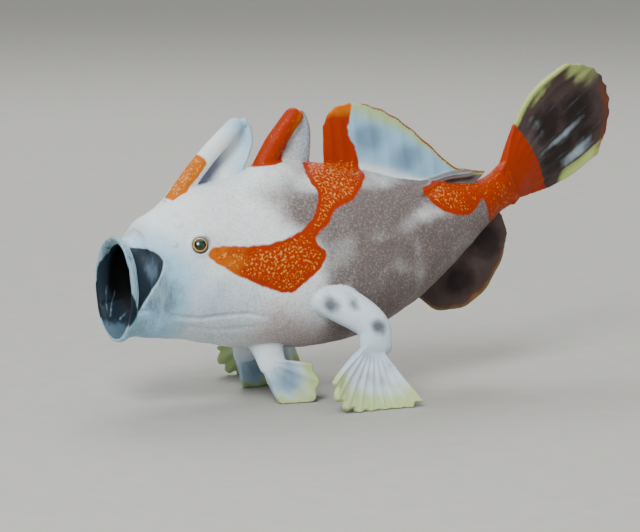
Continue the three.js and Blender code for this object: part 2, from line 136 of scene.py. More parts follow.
def layered(values: Field, *layers: tuple[Field, Any]) -> Field:
    """Replaces values where masks hold, as pairs of a mask and the value there.

    Args:
        values: Values to start from.
        layers: The pairs, of which a later one counts for more.

    Returns:
        The new values.
    """
    for mask, value in layers:
        values = np.where(mask, value, values)
    return values


def grid(columns: int, rows: int) -> tuple[Field, Field]:
    """Gives u across the columns and v along the rows of an even grid, both from 0 to 1."""
    return tuple(np.meshgrid(np.linspace(0, 1, columns), np.linspace(0, 1, rows)))


def ripple(points: Field, size: float, seed: int) -> Field:
    """Gives soft noise from a few crossed waves.

    Args:
        points: Places in millimetres, one a row.
        size: Rough width of a bump in millimetres.
        seed: Which noise.

    Returns:
        A value from about -1 to 1 for each place.
    """
    waves, usual_peak, full_turn = 7, 3.2, 6.28
    rng = np.random.default_rng(seed)
    total = np.zeros(len(points))
    for _ in range(waves):
        way = rng.normal(size=3)
        way /= np.linalg.norm(way)
        pace = math.pi / size
        total += np.sin(points @ way * pace * rng.uniform(0.6, 1.5) + rng.uniform(0, full_turn))
    return total / usual_peak


def rows_at(table: Table | Field, t: Field) -> Field:
    """Reads a table of sizes smoothly at shares of its length, exactly at each row.

    Args:
        table: One row for each station.
        t: Shares from 0 to 1.

    Returns:
        One row for each share.
    """
    rows = np.asarray(table, float)
    last = len(rows) - 1
    at = np.clip(np.asarray(t, float), 0, 1) * last
    i = np.minimum(at.astype(int), last - 1)
    w = (at - i)[..., None]
    before, here = rows[np.maximum(i - 1, 0)], rows[i]
    there, after = rows[i + 1], rows[np.minimum(i + 2, last)]
    start, end = (there - before) / 2, (after - here) / 2
    cubic = (2 * here - 2 * there + start + end) * w**3
    return cubic + (-3 * here + 3 * there - 2 * start - end) * w**2 + start * w + here


def reach_inside(places: Table, x: Field, z: Field) -> Field:
    """Measures how far points lie inside a rounded outline in the X-Z plane.

    Args:
        places: Corners of the outline in order, each as x and z.
        x: Places of the points along the fish.
        z: Their heights.

    Returns:
        Millimetres inside the outline, negative outside it.
    """
    ring = np.array(places)
    padded = np.concatenate([ring[-2:], ring, ring[:3]])
    runs, batch = 6, 20000  # straight runs between two corners, and points measured at once
    a = rows_at(padded, (2 + np.arange(len(ring) * runs) / runs) / (len(padded) - 1))
    b = np.roll(a, -1, axis=0)
    (ax, az), (rx, rz) = a.T, (b - a).T
    low, high = a.min(0) + OUTSIDE, a.max(0) - OUTSIDE
    near = np.nonzero((x > low[0]) & (x < high[0]) & (z > low[1]) & (z < high[1]))[0]
    result = np.full(len(x), OUTSIDE)
    for chunk in np.array_split(near, max(1, len(near) // batch)):
        px, pz = x[chunk][:, None], z[chunk][:, None]
        share = np.clip(((px - ax) * rx + (pz - az) * rz) / (rx**2 + rz**2), 0, 1)
        gap = np.hypot(px - ax - share * rx, pz - az - share * rz).min(1)
        cross = ax + (pz - az) / np.where(rz == 0, 1e-9, rz) * rx
        spans = (az > pz) != (b[:, 1] > pz)
        inside = ((spans & (px < cross)).sum(1) % 2) == 1
        result[chunk] = np.where(inside, gap, -gap)
    return result


def near_line(places: Table, x: Field, z: Field) -> tuple[Field, Field]:
    """Measures points against an open line in the X-Z plane.

    Args:
        places: Corners of the line.
        x: Places of the points along the fish.
        z: Their heights.

    Returns:
        Distance from the line, and how far along it the nearest point lies, from 0 to 1.
    """
    at = np.array(places)
    best, share = np.full(len(x), np.inf), np.zeros(len(x))
    for i, way in enumerate(np.diff(at, axis=0)):
        t = np.clip(((x - at[i, 0]) * way[0] + (z - at[i, 1]) * way[1]) / (way @ way), 0, 1)
        gap = np.hypot(x - at[i, 0] - t * way[0], z - at[i, 1] - t * way[1])
        share = np.where(gap < best, (i + t) / (len(at) - 1), share)
        best = np.minimum(gap, best)
    return best, share


def on_third_spine(x: Field, z: Field) -> Field:
    """Tells the third dorsal spine and its web from the second."""
    return x - 0.6 * (z - 28.0) > 17.7


# Closed shells that the skin is fused from


@dataclass
class Shell:
    """A surface in millimetres, with what each of its points belongs to.

    Attributes:
        points: Places of the points.
        faces: Corner numbers of each face, none where only the points are read.
        part: Stretch of skin of each point.
        u: Place of each point across a fin or round a tube, from 0 to 1.
        v: Place of each point along it, from 0 at the root to 1.
    """

    points: Field
    faces: list[tuple[int, ...]]
    part: Field
    u: Field
    v: Field

    def on(self) -> SimpleNamespace:
        """Marks the points on each stretch of skin, under its name in small letters."""
        return SimpleNamespace(**{kind.name.lower(): self.part == kind.value for kind in Part})


def tube(rings: Field, part: Field | Part, along: Field | None = None) -> Shell:
    """Closes a row of rings into a shell with a flat cap at each end.

    Args:
        rings: Places, as rings by points by three.
        part: Stretch of skin, one for all or one for each ring.
        along: Place of each ring along the tube, even steps if left out.

    Returns:
        The shell.
    """
    count, around = rings.shape[:2]
    along = np.linspace(0, 1, count) if along is None else along
    number = np.arange(count * around).reshape(count, around)
    following = np.roll(number, -1, axis=1)
    quads = np.stack([number[:-1], following[:-1], following[1:], number[1:]], -1).reshape(-1, 4)
    faces = [tuple(q) for q in quads.tolist()]
    faces += [tuple(number[0][::-1].tolist()), tuple(number[-1].tolist())]
    parts = np.repeat(np.zeros(count, int) + part, around)
    u = np.tile(np.arange(around) / around, count)
    return Shell(rings.reshape(-1, 3), faces, parts, u, np.repeat(along, around))


def sheet(middle: Field, half: Field, part: Part) -> Shell:
    """Thickens a fin's middle sheet into a shell.

    Args:
        middle: Places, as rows from root to rim by columns across by three.
        half: Half the thickness at each place.
        part: Stretch of skin.

    Returns:
        The shell.
    """
    rows, columns = middle.shape[:2]
    normal = np.cross(np.gradient(middle, axis=1), np.gradient(middle, axis=0))
    normal /= np.maximum(np.linalg.norm(normal, axis=-1, keepdims=True), 1e-9)
    points = np.concatenate([middle + normal * half[..., None], middle - normal * half[..., None]])
    back = rows * columns
    number = np.arange(back).reshape(rows, columns)
    front = np.stack([number[:-1, :-1], number[:-1, 1:], number[1:, 1:], number[1:, :-1]], -1)
    front = front.reshape(-1, 4)
    rim = np.array([*number[0], *number[1:, -1], *number[-1, -2::-1], *number[-2:0:-1, 0]])
    after = np.roll(rim, -1)
    edge = np.stack([rim, rim + back, after + back, after], -1)
    faces = np.concatenate([front, front[:, [0, 3, 2, 1]] + back, edge])
    parts = np.full(2 * back, part)
    u, v = grid(columns, rows)
    faces = [tuple(q) for q in faces.tolist()]
    return Shell(points.reshape(-1, 3), faces, parts, np.tile(u.ravel(), 2), np.tile(v.ravel(), 2))


def rod(places: Table, radii: Callable, part: Part, around: int = 48) -> Shell:
    """Sweeps an oval along a smooth line.

    Args:
        places: Places that the line runs through.
        radii: Gives the radius across and the radius fore and aft at shares of the length.
        part: Stretch of skin.
        around: Points round the oval.

    Returns:
        The shell.
    """
    t = np.linspace(0, 1, 60)
    centre = rows_at(places, t)
    way = np.gradient(centre, axis=0)
    way /= np.linalg.norm(way, axis=1, keepdims=True)
    right = np.cross(way, (1.0, 0.0, 0.0))
    right /= np.linalg.norm(right, axis=1, keepdims=True)
    across, deep = radii(t)
    angle = np.linspace(0, TURN, around, endpoint=False)
    side = right[:, None] * (across[:, None] * np.cos(angle))[..., None]
    fore = np.cross(way, right)[:, None] * (deep[:, None] * np.sin(angle))[..., None]
    return tube(centre[:, None] + side + fore, part, t)


def turned(profile: Table | Field, count: int) -> Field:
    """Turns a profile round the Z axis.

    Args:
        profile: Radius and height of each point of the profile.
        count: Places round the axis.

    Returns:
        Places, as points of the profile by places round the axis by three.
    """
    f = np.linspace(0, TURN, count, endpoint=False)
    r, z = np.array(profile).T[..., None]
    return np.stack([r * np.cos(f), r * np.sin(f), z + 0 * f], -1)


def facing(normal: Vector, rings: Field, centre: Vector) -> Field:
    """Turns rings from the Z axis to face along a normal and moves them to a centre."""
    return rings @ np.array(normal.to_track_quat("Z", "Y").to_matrix()).T + np.array(centre)


def domed(t: Field, start: float) -> Field:
    """Gives the share of its size that a rod keeps towards a rounded end with a small flat."""
    return np.sqrt(1 - 0.93 * np.clip((t - start) / (1 - start), 0, 1) ** 2)


def ridge(u: Field, rays: int) -> Field:
    """Gives 1 on the line of a fin ray and 0 midway between two."""
    return np.clip(1 - np.abs(((u * (rays - 1) + 0.5) % 1) - 0.5) * 2, 0, 1)


def scallop(u: Field, v: Field, rays: int, depth: float, blunt: float = 1.0) -> Field:
    """Gives 1 on a ray and less between two rays, the more so the nearer the rim."""
    return mix(1.0, 1 - depth * ((1 - np.cos(TURN * u * (rays - 1))) / 2) ** blunt, v)


def fin_half(u: Field, v: Field, rays: int, root: float = 0.95, root_length: float = 0.22) -> Field:
    """Gives half the thickness of a rayed fin.

    Args:
        u: Places across the rays.
        v: Places from the root to the rim.
        rays: Number of rays.
        root: Half thickness at the fleshy root.
        root_length: Share of the fin that the root takes.

    Returns:
        Half thicknesses in millimetres.
    """
    web, ray, rim = 0.25, 0.17, 0.22
    raised = ray * ridge(u, rays) ** 1.6 * smooth(v, 0.08, 0.5)
    joints = 1 + 0.12 * np.sin(v * 70) * smooth(v, 0.4, 0.8)
    flesh = (root - web) * fade(v, 0, root_length)
    return mix(web + flesh + raised * joints, rim + raised * 0.45, smooth(v, 0.75, 1))


def axes(pitch: Field, yaw: Field) -> tuple[Field, Field, Field]:
    """Gives the ways along, up and to the right of a stretch of the body.

    Args:
        pitch: Its tilt up towards the rear, in degrees.
        yaw: Its turn to the fish's right, in degrees.

    Returns:
        The three ways.
    """
    p, q = np.radians(pitch), np.radians(yaw)
    along = np.stack([np.cos(p) * np.cos(q), np.cos(p) * np.sin(q), np.sin(p)], -1)
    top = np.stack([-np.sin(p) * np.cos(q), -np.sin(p) * np.sin(q), np.cos(p)], -1)
    return along, top, np.stack([-np.sin(q), np.cos(q), 0 * q], -1)


# The body, face and mouth


@dataclass
class Body:
    """The trunk with its face and the inside of its open mouth, as one shell.

    Attributes:
        sections: Stations from the gape to the root of the tail fin: x, y, z of the widest
            level, reach up, reach down, half width, pitch and yaw in degrees.
        face: Stations from the front of the head over the lips into the mouth: x, z, reach up,
            reach down, half width, pitch.
        lips_end: Share of the face's length at which the inside of the mouth starts.
        crest: Roundness of the back, where 2 is an ellipse.
        keel: Roundness of the belly.
        around: Points round a section.
        spacing: Rings along the trunk.
    """

    sections: Table = (
        (3.8, 0, 15.9, 7.1, 6.7, 6.3, 7, 0), (5.6, 0, 16.1, 8.0, 7.0, 6.9, 4, 0),
        (9.2, 0, 16.5, 10.4, 7.8, 7.4, 0, 0), (15, 0, 16.4, 11.7, 9.0, 8.2, 0, 0),
        (21, 0, 16.2, 13.8, 9.3, 8.7, 0, 0), (27, 0, 16.4, 13.2, 9.6, 8.6, 0, 0),
        (33.5, 0, 17.4, 11.2, 9.4, 7.6, 2, 0), (40, 0, 19.2, 7.9, 7.9, 5.8, 6, 2),
        (46.6, 0.3, 21.4, 5.0, 5.0, 3.8, 14, 6), (52.2, 1.0, 23.4, 2.7, 2.8, 2.0, 24, 13),
        (57.0, 2.2, 25.5, 2.9, 2.9, 0.95, 29, 18),
    )
    face: Table = (
        (3.55, 15.85, 6.85, 6.62, 6.1, 6.5), (3.15, 15.8, 6.4, 6.5, 5.75, 6),
        (2.3, 15.7, 6.08, 6.18, 5.4, 4.5), (1.4, 15.6, 6.12, 6.22, 5.42, 2.5),
        (0.75, 15.5, 6.4, 6.5, 5.7, 1), (0.38, 15.5, 6.38, 6.48, 5.68, 0),
        (0.3, 15.5, 6.1, 6.2, 5.4, 0), (0.45, 15.5, 5.75, 5.95, 5.05, 0),
        (0.85, 15.5, 5.5, 5.75, 4.8, 0), (1.5, 15.5, 5.35, 5.6, 4.68, 0),
        (3.0, 15.54, 5.25, 5.45, 4.6, 0), (5.0, 15.65, 4.75, 4.85, 4.15, 0),
        (7.5, 15.8, 3.95, 4.05, 3.55, 0), (10.0, 15.95, 3.4, 3.5, 3.12, 0),
        (12.0, 16.0, 3.1, 3.2, 2.9, 0), (12.5, 16.0, 2.2, 2.3, 2.1, 0),
        (12.55, 16.0, 0.4, 0.4, 0.4, 0),
    )
    lips_end: float = 0.54
    crest: float = 1.9
    keel: float = 2.3
    around: int = 216
    spacing: int = 230

    def skin(self, t: Field, angle: Field) -> Field:
        """Places points on the trunk's skin.

        Args:
            t: Shares of the body's length.
            angle: Angles round it, 0 on the right flank and a quarter turn on the back.

        Returns:
            The places.
        """
        x, y, z, up, down, half, pitch, yaw = np.moveaxis(rows_at(self.sections, t), -1, 0)
        c, s = np.cos(angle), np.sin(angle)
        round_by = np.where(s > 0, 2 / self.crest, 2 / self.keel)
        side = half * np.sign(c) * np.abs(c) ** round_by
        rise = np.where(s > 0, up, down) * np.sign(s) * np.abs(s) ** round_by
        _, top, right = axes(pitch, yaw)
        return np.stack([x, y, z], -1) + right * side[..., None] + top * rise[..., None]

    def shell(self) -> Shell:
        """Builds the trunk from the tail to the lips and on into the mouth.

        Returns:
            The trunk.
        """
        angle = np.linspace(0, TURN, self.around, endpoint=False)[None, :]
        t = np.linspace(1, 0, self.spacing)[:, None]
        trunk = self.skin(t + 0 * angle, angle + 0 * t)
        s = np.linspace(0.01, 1, 150)
        x, z, up, down, half, pitch = np.moveaxis(rows_at(self.face, s[:, None]), -1, 0)
        rise = np.where(np.sin(angle) > 0, up, down) * np.sin(angle)
        mouth = [x - rise * np.tan(np.radians(pitch)), half * np.cos(angle), z + rise]
        rings = np.concatenate([trunk, np.stack(mouth, -1)])[:, ::-1]
        parts = np.where(s > self.lips_end, Part.MOUTH, Part.FACE)
        parts = np.concatenate([np.full(len(t), Part.BODY), parts])
        return tube(rings, parts, np.concatenate([t[:, 0], s]))

    def flank(self, x: float, z: float, side: Side) -> tuple[Vector, Vector]:
        """Finds the skin at a length and a height.

        Args:
            x: Place along the fish.
            z: Height.
            side: Which flank.

        Returns:
            The place and the way straight out of the skin.
        """
        low, high, halvings, step = 0.0, 0.8, 30, 0.01
        for _ in range(halvings):
            t = (low + high) / 2
            _, _, mid, up, down, *_ = rows_at(self.sections, t)
            lift = z - mid
            reach, power = (up, self.crest / 2) if lift > 0 else (down, self.keel / 2)
            angle = math.asin(max(-1, min(1, math.copysign(abs(lift / reach) ** power, lift))))
            low, high = (low, t) if self.skin(t, angle)[0] > x else (t, high)
        here = Vector(self.skin(t, angle))
        round_it = Vector(self.skin(t, angle + 2 * step)) - here
        normal = round_it.cross(Vector(self.skin(t + step, angle)) - here).normalized()
        normal *= math.copysign(1, normal.y)
        mirror = Vector((1, side.value, 1))
        return here * mirror, normal * mirror


# Fins


@dataclass
class MedianFin:
    """A fin in the fish's middle plane, between a line in the body and its rim.

    Attributes:
        part: Stretch of skin.
        base: Line inside the body, as x and z.
        rim: Line along the rim.
        bow: Gives how far the fin stands out of the middle plane at (u, v).
    """

    part: Part
    base: Table
    rim: Table
    bow: Callable[[Field, Field], Field]

    def shell(self) -> Shell:
        """Builds the fin with its rays raised and a scalloped rim.

        Returns:
            The fin.
        """
        rays = RAYS[self.part]
        u, v = grid(130, 60)
        share = v * scallop(u, v, rays, 0.015)
        x, z = np.moveaxis(mix(rows_at(self.base, u), rows_at(self.rim, u), share[..., None]), -1, 0)
        return sheet(np.stack([x, self.bow(u, v), z], -1), fin_half(u, v, rays), self.part)


@dataclass
class TailFin:
    """The fan of the tail, in line with the bent stalk.

    Attributes:
        pitch: Tilt up towards the rear, in degrees.
        yaw: Turn to the fish's right, in degrees.
        length: Reach of the middle rays.
        shorten: Share by which the outer rays are shorter.
        root_half: Half height at the root.
        spread: How much half the height grows towards the rim.
        bow: How far the fan bows to the right.
        sink: How deep its root lies in the stalk.
    """

    pitch: float = 29.5
    yaw: float = 20.0
    length: float = 22.6
    shorten: float = 0.26
    root_half: float = 2.7
    spread: float = 4.4
    bow: float = 0.9
    sink: float = 1.6

    def reach(self, u: Field) -> Field:
        """Gives the length of the fan at places across it."""
        return self.length * (1 - self.shorten * np.abs(2 * u - 1) ** 2.4)

    def shell(self, body: Body) -> Shell:
        """Builds the fan on the end of the body.

        Args:
            body: The body.

        Returns:
            The fan.
        """
        rays = RAYS[Part.TAIL_FIN]
        along, top, right = axes(self.pitch, self.yaw)
        u, v = grid(110, 100)
        across = 2 * u - 1
        reach = self.reach(u) * scallop(u, v, rays, 0.012)
        half = self.root_half + self.spread * np.sin(math.pi / 2 * np.clip((v - 0.1) / 0.72, 0, 1))
        middle = np.array(body.sections[-1][:3]) + along * mix(-self.sink, reach, v)[..., None]
        middle = middle + top * (across * half)[..., None]
        middle += right * (self.bow * np.sin(math.pi * v) * (0.4 + across**2))[..., None]
        return sheet(middle, fin_half(u, v, rays, 0.8, 0.4), Part.TAIL_FIN)


@dataclass
class DorsalSpine:
    """A spine under thick skin, with a hollow web behind it down to the back.

    Attributes:
        foot: Start of the spine inside the body, as x and z.
        tip: End of the spine.
        radius: Radius at the foot.
        tip_radius: Radius at the tip.
        bow: How far the web bows to the fish's right.
        rim: Free edge of the web.
        roll: Places of the roll of skin that joins the tip to the web, if it has one.
    """

    foot: tuple[float, float]
    tip: tuple[float, float]
    radius: float
    tip_radius: float
    bow: float
    rim: Table
    roll: Table = ()

    def radii(self, t: Field) -> tuple[Field, Field]:
        """Tapers the spine to its rounded tip."""
        size = mix(self.radius, self.tip_radius, t) * domed(t, 0.86)
        return size * 0.85, size

    def shells(self) -> list[Shell]:
        """Builds the spine and its web.

        Returns:
            The spine, the web and the roll.
        """
        (x0, z0), (x1, z1) = self.foot, self.tip
        bend = ((x0 + x1) / 2 - 0.3, 0, (z0 + z1) / 2 + 0.3)
        spine = rod(((x0, 0, z0), bend, (x1, 0, z1)), self.radii, Part.SPINE)
        u, v = grid(50, 60)
        front = mix(np.array(self.foot), np.array(self.tip), 0.96 * v[..., None])
        x, z = np.moveaxis(mix(front, rows_at(self.rim, v), u[..., None]), -1, 0)
        y = self.bow * np.sin(math.pi * u) * (0.4 + 0.6 * np.sin(math.pi * v))
        half = 0.25 + 0.16 * smooth(u, 0.75, 0.97) + 0.35 * fade(v, 0.1, 0.4)
        shells = [spine, sheet(np.stack([x, y, z], -1), half, Part.WEB)]
        if self.roll:
            roll = rod(self.roll, lambda t: (mix(0.72, 0.3, t), mix(0.7, 0.34, t)), Part.SPINE)
            roll.v[:] = 1.0  # coloured as the tip
            shells.append(roll)
        return shells


@dataclass
class FishingRod:
    """The rod laid back on the fish's right, with its leaf-shaped lure.

    Attributes:
        length: Length of the lure.
        height: Its greatest half height.
        tip: End of the stalk.
    """

    length: float = 3.2
    height: float = 0.75
    tip: tuple[float, float, float] = (16.2, 2.4, 33.9)

    def shells(self) -> list[Shell]:
        """Builds the stalk and the lure.

        Returns:
            The two shells.
        """
        places = ((6.7, 1.0, 24.6), (9.6, 2.1, 27.4), (12.9, 2.5, 30.6), self.tip)
        stalk = rod(places, lambda t: (0.28 + 0 * t, 0.3 - 0.03 * t), Part.ROD, 20)
        u, v = grid(30, 40)
        across = (2 * u - 1) * self.height * (0.25 + np.sin(math.pi * np.minimum(1, v * 1.15)))
        offset = np.stack([v * self.length + 0.15 - across * 0.5, 0.3 * v, v * 0.6 + across], -1)
        half = mix(0.24, 0.35, np.sin(math.pi * u) * np.sin(math.pi * np.minimum(1, v + 0.1)))
        return [stalk, sheet(np.array(self.tip) + offset, half, Part.ROD)]


@dataclass
class PairedFin:
    """A fleshy limb and the fan of thick rays at its end, whose tips stand on the floor.

    Attributes:
        limb: Stations down the limb: x, distance out of the middle plane, z, half thickness
            and half depth fore and aft.
        pivot: Place that the rays fan from.
        start: Direction of the first ray, where 0 is to the rear and 90 down.
        end: Direction of the last ray.
        root: Distance from the pivot at which the fan starts.
        splay: Slope of the fan outwards.
        curl: How far the tips turn outwards.
        lengths: Reach of the rays from the pivot.
        lobes: Depth of the notches between the tips.
        shift: How far the right one stands behind the left one.
        limb_part: Stretch of skin of the limb.
        fan_part: Stretch of skin of the fan.
    """

    limb: Table
    pivot: tuple[float, float, float]
    start: float
    end: float
    root: float
    splay: float
    curl: float
    lengths: tuple[float, ...]
    lobes: float
    shift: float
    limb_part: Part
    fan_part: Part

    def radii(self, t: Field) -> tuple[Field, Field]:
        """Reads the limb's sizes and rounds its end."""
        both = rows_at(np.array(self.limb)[:, 3:], t) * domed(t, 0.84)[:, None]
        return both[:, 0], both[:, 1]

    def shells(self, side: Side) -> list[Shell]:
        """Builds the limb and the fan of one side.

        Args:
            side: Which side.

        Returns:
            The two shells.
        """
        rays = RAYS[self.fan_part]
        shift = self.shift if side is Side.RIGHT else 0.0
        places = [(x + shift, side.value * out, z) for x, out, z, *_ in self.limb]
        limb = rod(places, self.radii, self.limb_part)
        u, v = grid(120, 60)
        angle = np.radians(mix(self.start, self.end, u))
        reach = rows_at(np.array(self.lengths)[:, None], u)[..., 0]
        r = mix(self.root, reach * scallop(u, v, rays, self.lobes, 2), v)
        x, y, z = self.pivot
        out = side.value * (y + r * self.splay + self.curl * v * v)
        middle = np.stack([x + shift + r * np.cos(angle), out, z - r * np.sin(angle)], -1)
        raised = 0.26 * ridge(u, rays) ** 1.4 * smooth(v, 0, 0.3)
        half = mix(0.55, 0.26, smooth(v, 0.1, 0.8)) + raised * (1 - 0.3 * smooth(v, 0.85, 1))
        fan = sheet(middle, half, self.fan_part)
        fan.points[:, 2] = np.maximum(fan.points[:, 2], FLOOR + 0.02)
        return [limb, fan]


# The skin's markings


@dataclass
class Markings:
    """Where the skin's colours lie, as outlines on the flank in millimetres.

    Attributes:
        band: The orange band from the eye up the flank and onto the fin of the back.
        stalk: The orange patch on the stalk of the tail.
        spine_patch: The yellow-orange patch at the foot of the second spine.
        cheek: The thin dark skin of the cheek behind the lips.
        strands: Pale strands on the inside of the lips.
        fin_spots: Grey-blue blotches on the fins: x, z and radius.
        arm_spots: The same on the arms.
        tail_spots: Dark blotches on the tail fin: u, v and radius as a share of its length.
        clouds: Clouds on the flank behind the band: x, z, half width, half height and how much they
        lighten it. The last two darken it, the last as painted shade low on the flank.
        fold: Ends of the bundle of rays that lies along the rear base of the back's fin.
        tail: The tail fin, for the edge of the orange on it.
    """

    band: Table = (
        (25.2, 29.6), (24.6, 28.0), (25.2, 26.4), (23.9, 23.9), (21.7, 22.2), (18.6, 21.1),
        (15.0, 20.7), (10.9, 20.8), (9.7, 19.8), (11.6, 18.2), (13.8, 17.0), (16.6, 15.7),
        (18.8, 14.9), (20.7, 15.0), (22.4, 16.4), (24.1, 17.5), (24.9, 19.4), (23.9, 20.4),
        (23.9, 21.6), (25.9, 23.0), (27.1, 24.4), (30.0, 25.4), (32.2, 26.9), (33.6, 28.3),
        (33.0, 31.0), (31.9, 33.3), (32.2, 36.0), (32.0, 39.5), (27.5, 39.5), (27.4, 34.0),
        (27.4, 31.0),
    )
    stalk: Table = (
        (41.4, 25.6), (42.0, 24.4), (43.4, 23.2), (45.5, 22.4), (48.1, 22.2), (49.6, 23.0),
        (50.6, 23.9), (51.4, 22.9), (52.2, 20.8), (56, 19.5), (60, 20.0), (60, 32), (52, 30),
        (46, 27.0), (43.4, 26.2),
    )
    spine_patch: Table = (
        (6.2, 26.6), (7.4, 28.4), (9.6, 31.2), (11.4, 31.7), (12.7, 30.2), (10.9, 27.8), (8.4, 25.6)
    )
    cheek: Table = (
        (1.5, 21.0), (2.7, 20.9), (3.8, 20.4), (4.4, 19.5), (4.2, 18.4), (3.5, 16.9), (2.6, 15.1),
        (1.9, 13.8), (1.1, 12.5), (0.3, 11.3), (0.0, 12.5), (0.0, 16.0), (0.6, 19.8),
    )
    strands: tuple[Table, ...] = (
        ((2.9, 15.6), (2.2, 13.8), (1.3, 11.6)),
        ((1.6, 16.4), (1.3, 14.2), (1.1, 12.0)),
        ((4.6, 12.9), (3.0, 11.6), (1.4, 10.6)),
    )
    fin_spots: Table = ((34.7, 32.4, 1.9), (40.4, 29.7, 1.7), (52.4, 18.0, 2.1), (48.0, 13.4, 1.9))
    arm_spots: Table = ((24.6, 13.3, 0.9), (27.2, 13.3, 0.6), (29.9, 10.6, 0.9))
    tail_spots: Table = ((0.3, 0.5, 0.15), (0.66, 0.5, 0.13), (0.5, 0.72, 0.14), (0.2, 0.76, 0.1))
    clouds: Table = (
        (40.6, 22.7, 4.6, 1.3, 0.72), (27.6, 20.4, 2.2, 1.5, 0.22), (28.9, 24.2, 1.9, 1.5, 0.2),
        (33.4, 25.7, 2.4, 0.9, 0.22), (31.8, 17.5, 1.0, 0.8, 0.06), (35.6, 24.0, 3.0, 1.0, -0.2),
        (33.4, 18.6, 2.6, 1.7, -0.4),
    )
    fold: Table = ((36.6, 25.3), (39.4, 25.6), (42.9, 26.1), (46.4, 27.0), (51.5, 27.3))
    tail: TailFin = field(default_factory=TailFin)

    def above_fold(self, x: Field, z: Field) -> Field:
        """Measures heights from the bundle of rays along the fin's rear base."""
        return z - np.interp(x, *np.array(self.fold).T)

    def fields(self, skin: Shell) -> Fields:
        """Works out every field of the markings.

        Args:
            skin: Points of the fused skin.

        Returns:
            A value for each point under each field's name.
        """
        fields = self.orange_fields(skin) | self.fin_fields(skin) | self.mouth_fields(skin)
        (x, y, z), u, v, on = skin.points.T, skin.u, skin.v, skin.on()

        # White skin: blue on the face and limbs, grey-brown behind the band, rosy on the belly
        trunk = on.body | on.lid | on.face
        low, high = fade(z, 9.0, 17.0), smooth(z, 18.0, 25.0)
        cool = fade(x, 2.0, 13.0) * (1 - 0.75 * high)
        cool = layered(
            np.maximum(cool, 0.42 * fade(z, 15.0, 20.0) * fade(x, 12, 24)),
            (on.leg, 0.4), (on.foot, 0.55), (on.arm | on.hand, 0.45),
            (on.dorsal, 0.95 * smooth(v, 0.05, 0.35)), (on.web, 0.7 * smooth(u, 0.5, 1.0)),
            (on.spine, 0.6 * smooth(v, 0.6, 1.0) + 0.15),
        )
        # Grey-brown dusk with painted shade: a smudge on the left of the head, the flank with its
        # clouds, painted shade low behind the arm's root, and painted shade on the back's fin under the
        # fold
        smudge = oval(x, z, (21.6, 24.0), 2.4, 1.9) + 0.6 * oval(x, z, (19.5, 26.6), 2.6, 1.6)
        smudge *= y < 2
        behind = smooth(x + 0.25 * (z - 20), 20.5, 26.0)
        dusk = 0.22 * smooth(x, 12, 19) * high + 0.9 * behind + 0.1 * smooth(x, 34, 50)
        # The oval low behind the arm's root darkens the flank as painted shade
        dusk += 0.25 * oval(x, z, (29, 14), 5, 3) + 0.42 * smudge
        for cx, cz, width, height, depth in self.clouds:
            dusk -= depth * oval(x, z - 0.2 * (x - cx), (cx, cz), width, height) * behind
        above = self.above_fold(x, z)
        dusk += (0.07 * ripple(skin.points, 2.2, 6) - 0.6 * smooth(above, 0.2, 2.0)) * behind
        # Below the fold the back's fin takes painted shade, and near its root a grey-brown tint
        under = smooth(x, 40.0, 46.0) * fade(above, -0.4, 0.5)
        third_web = on.web & on_third_spine(x, z)
        fin_root_and_shade = np.maximum(0.5 - 2.2 * v, under)
        dusk = layered(dusk * trunk, (on.dorsal, fin_root_and_shade), (third_web, 0.62))
        rose = 0.8 * low * smooth(x, 9, 19) + 0.3 * smooth(x, 24, 42) + 0.7 * smudge
        grain = 0.14 + 0.3 * smooth(x, 4, 13) + 0.15 * low
        pearl = 0.12 + 0.35 * smooth(x, 9, 18) - 0.15 * smooth(x, 24, 32)
        ring = np.hypot(x - EYE[0], z - EYE[1])
        # A thin dark ring round the eye, and painted shade behind and above it in the socket
        socket = 0.45 * bell(ring, 1.1, 0.2) + 0.5 * oval(x, z, (9.9, 21.8), 0.9, 0.7)
        fields["calm"] *= 1 - 0.85 * fields["glass"]
        return fields | {
            "cool": cool,
            "dusk": dusk,
            "rose": rose * trunk,
            "grain": np.where(trunk | third_web, grain, -1.0),
            "pearl": np.where(trunk | third_web, pearl, -1.0),
            "socket": socket * (trunk & (np.abs(y) > 3)),
        }

    def mouth_fields(self, skin: Shell) -> Fields:
        """Works out the thin skin of the lips and cheeks and the inside of the mouth.

        Args:
            skin: Points of the fused skin.

        Returns:
            Their fields.
        """
        (x, y, z), v, on = skin.points.T, skin.v, skin.on()
        outer = on.face | on.body
        hood = 0.16 * smooth(z, 17.0, 21.5)
        inner = np.where(on.face, smooth(v - hood, 0.37, 0.43 + hood), 1.0 * on.mouth)
        front = (1 - inner) * outer
        side = smooth(np.abs(y), 2.0, 3.2)
        inside = np.where(side > 0, reach_inside(self.cheek, x, z), OUTSIDE)
        # The upper jaw hangs down in front of the cheek as a pale strip and ends in a point
        jelly = fade(x, 1.1, 1.5) * smooth(z + 2.5 * x, 16.0, 16.8)
        jelly = np.maximum(jelly, 0.8 * fade(x, 1.0, 3.8) * smooth(z, 20.4, 21.4))
        jelly = np.maximum(jelly, 0.7 * fade(x, 2.5, 6.0) * fade(z - 0.5 * x, 10.8, 11.8))
        roll = smooth(z, 18.2, 20.6) * fade(x, 0.5, 1.3) * front
        # Painted shade on the cheek behind its thin skin; the roll of the upper lip takes the same slate
        # tint
        haze = oval(x, z + 0.5 * x, (3.9, 17.4), 2.1, 3.2) * side * outer
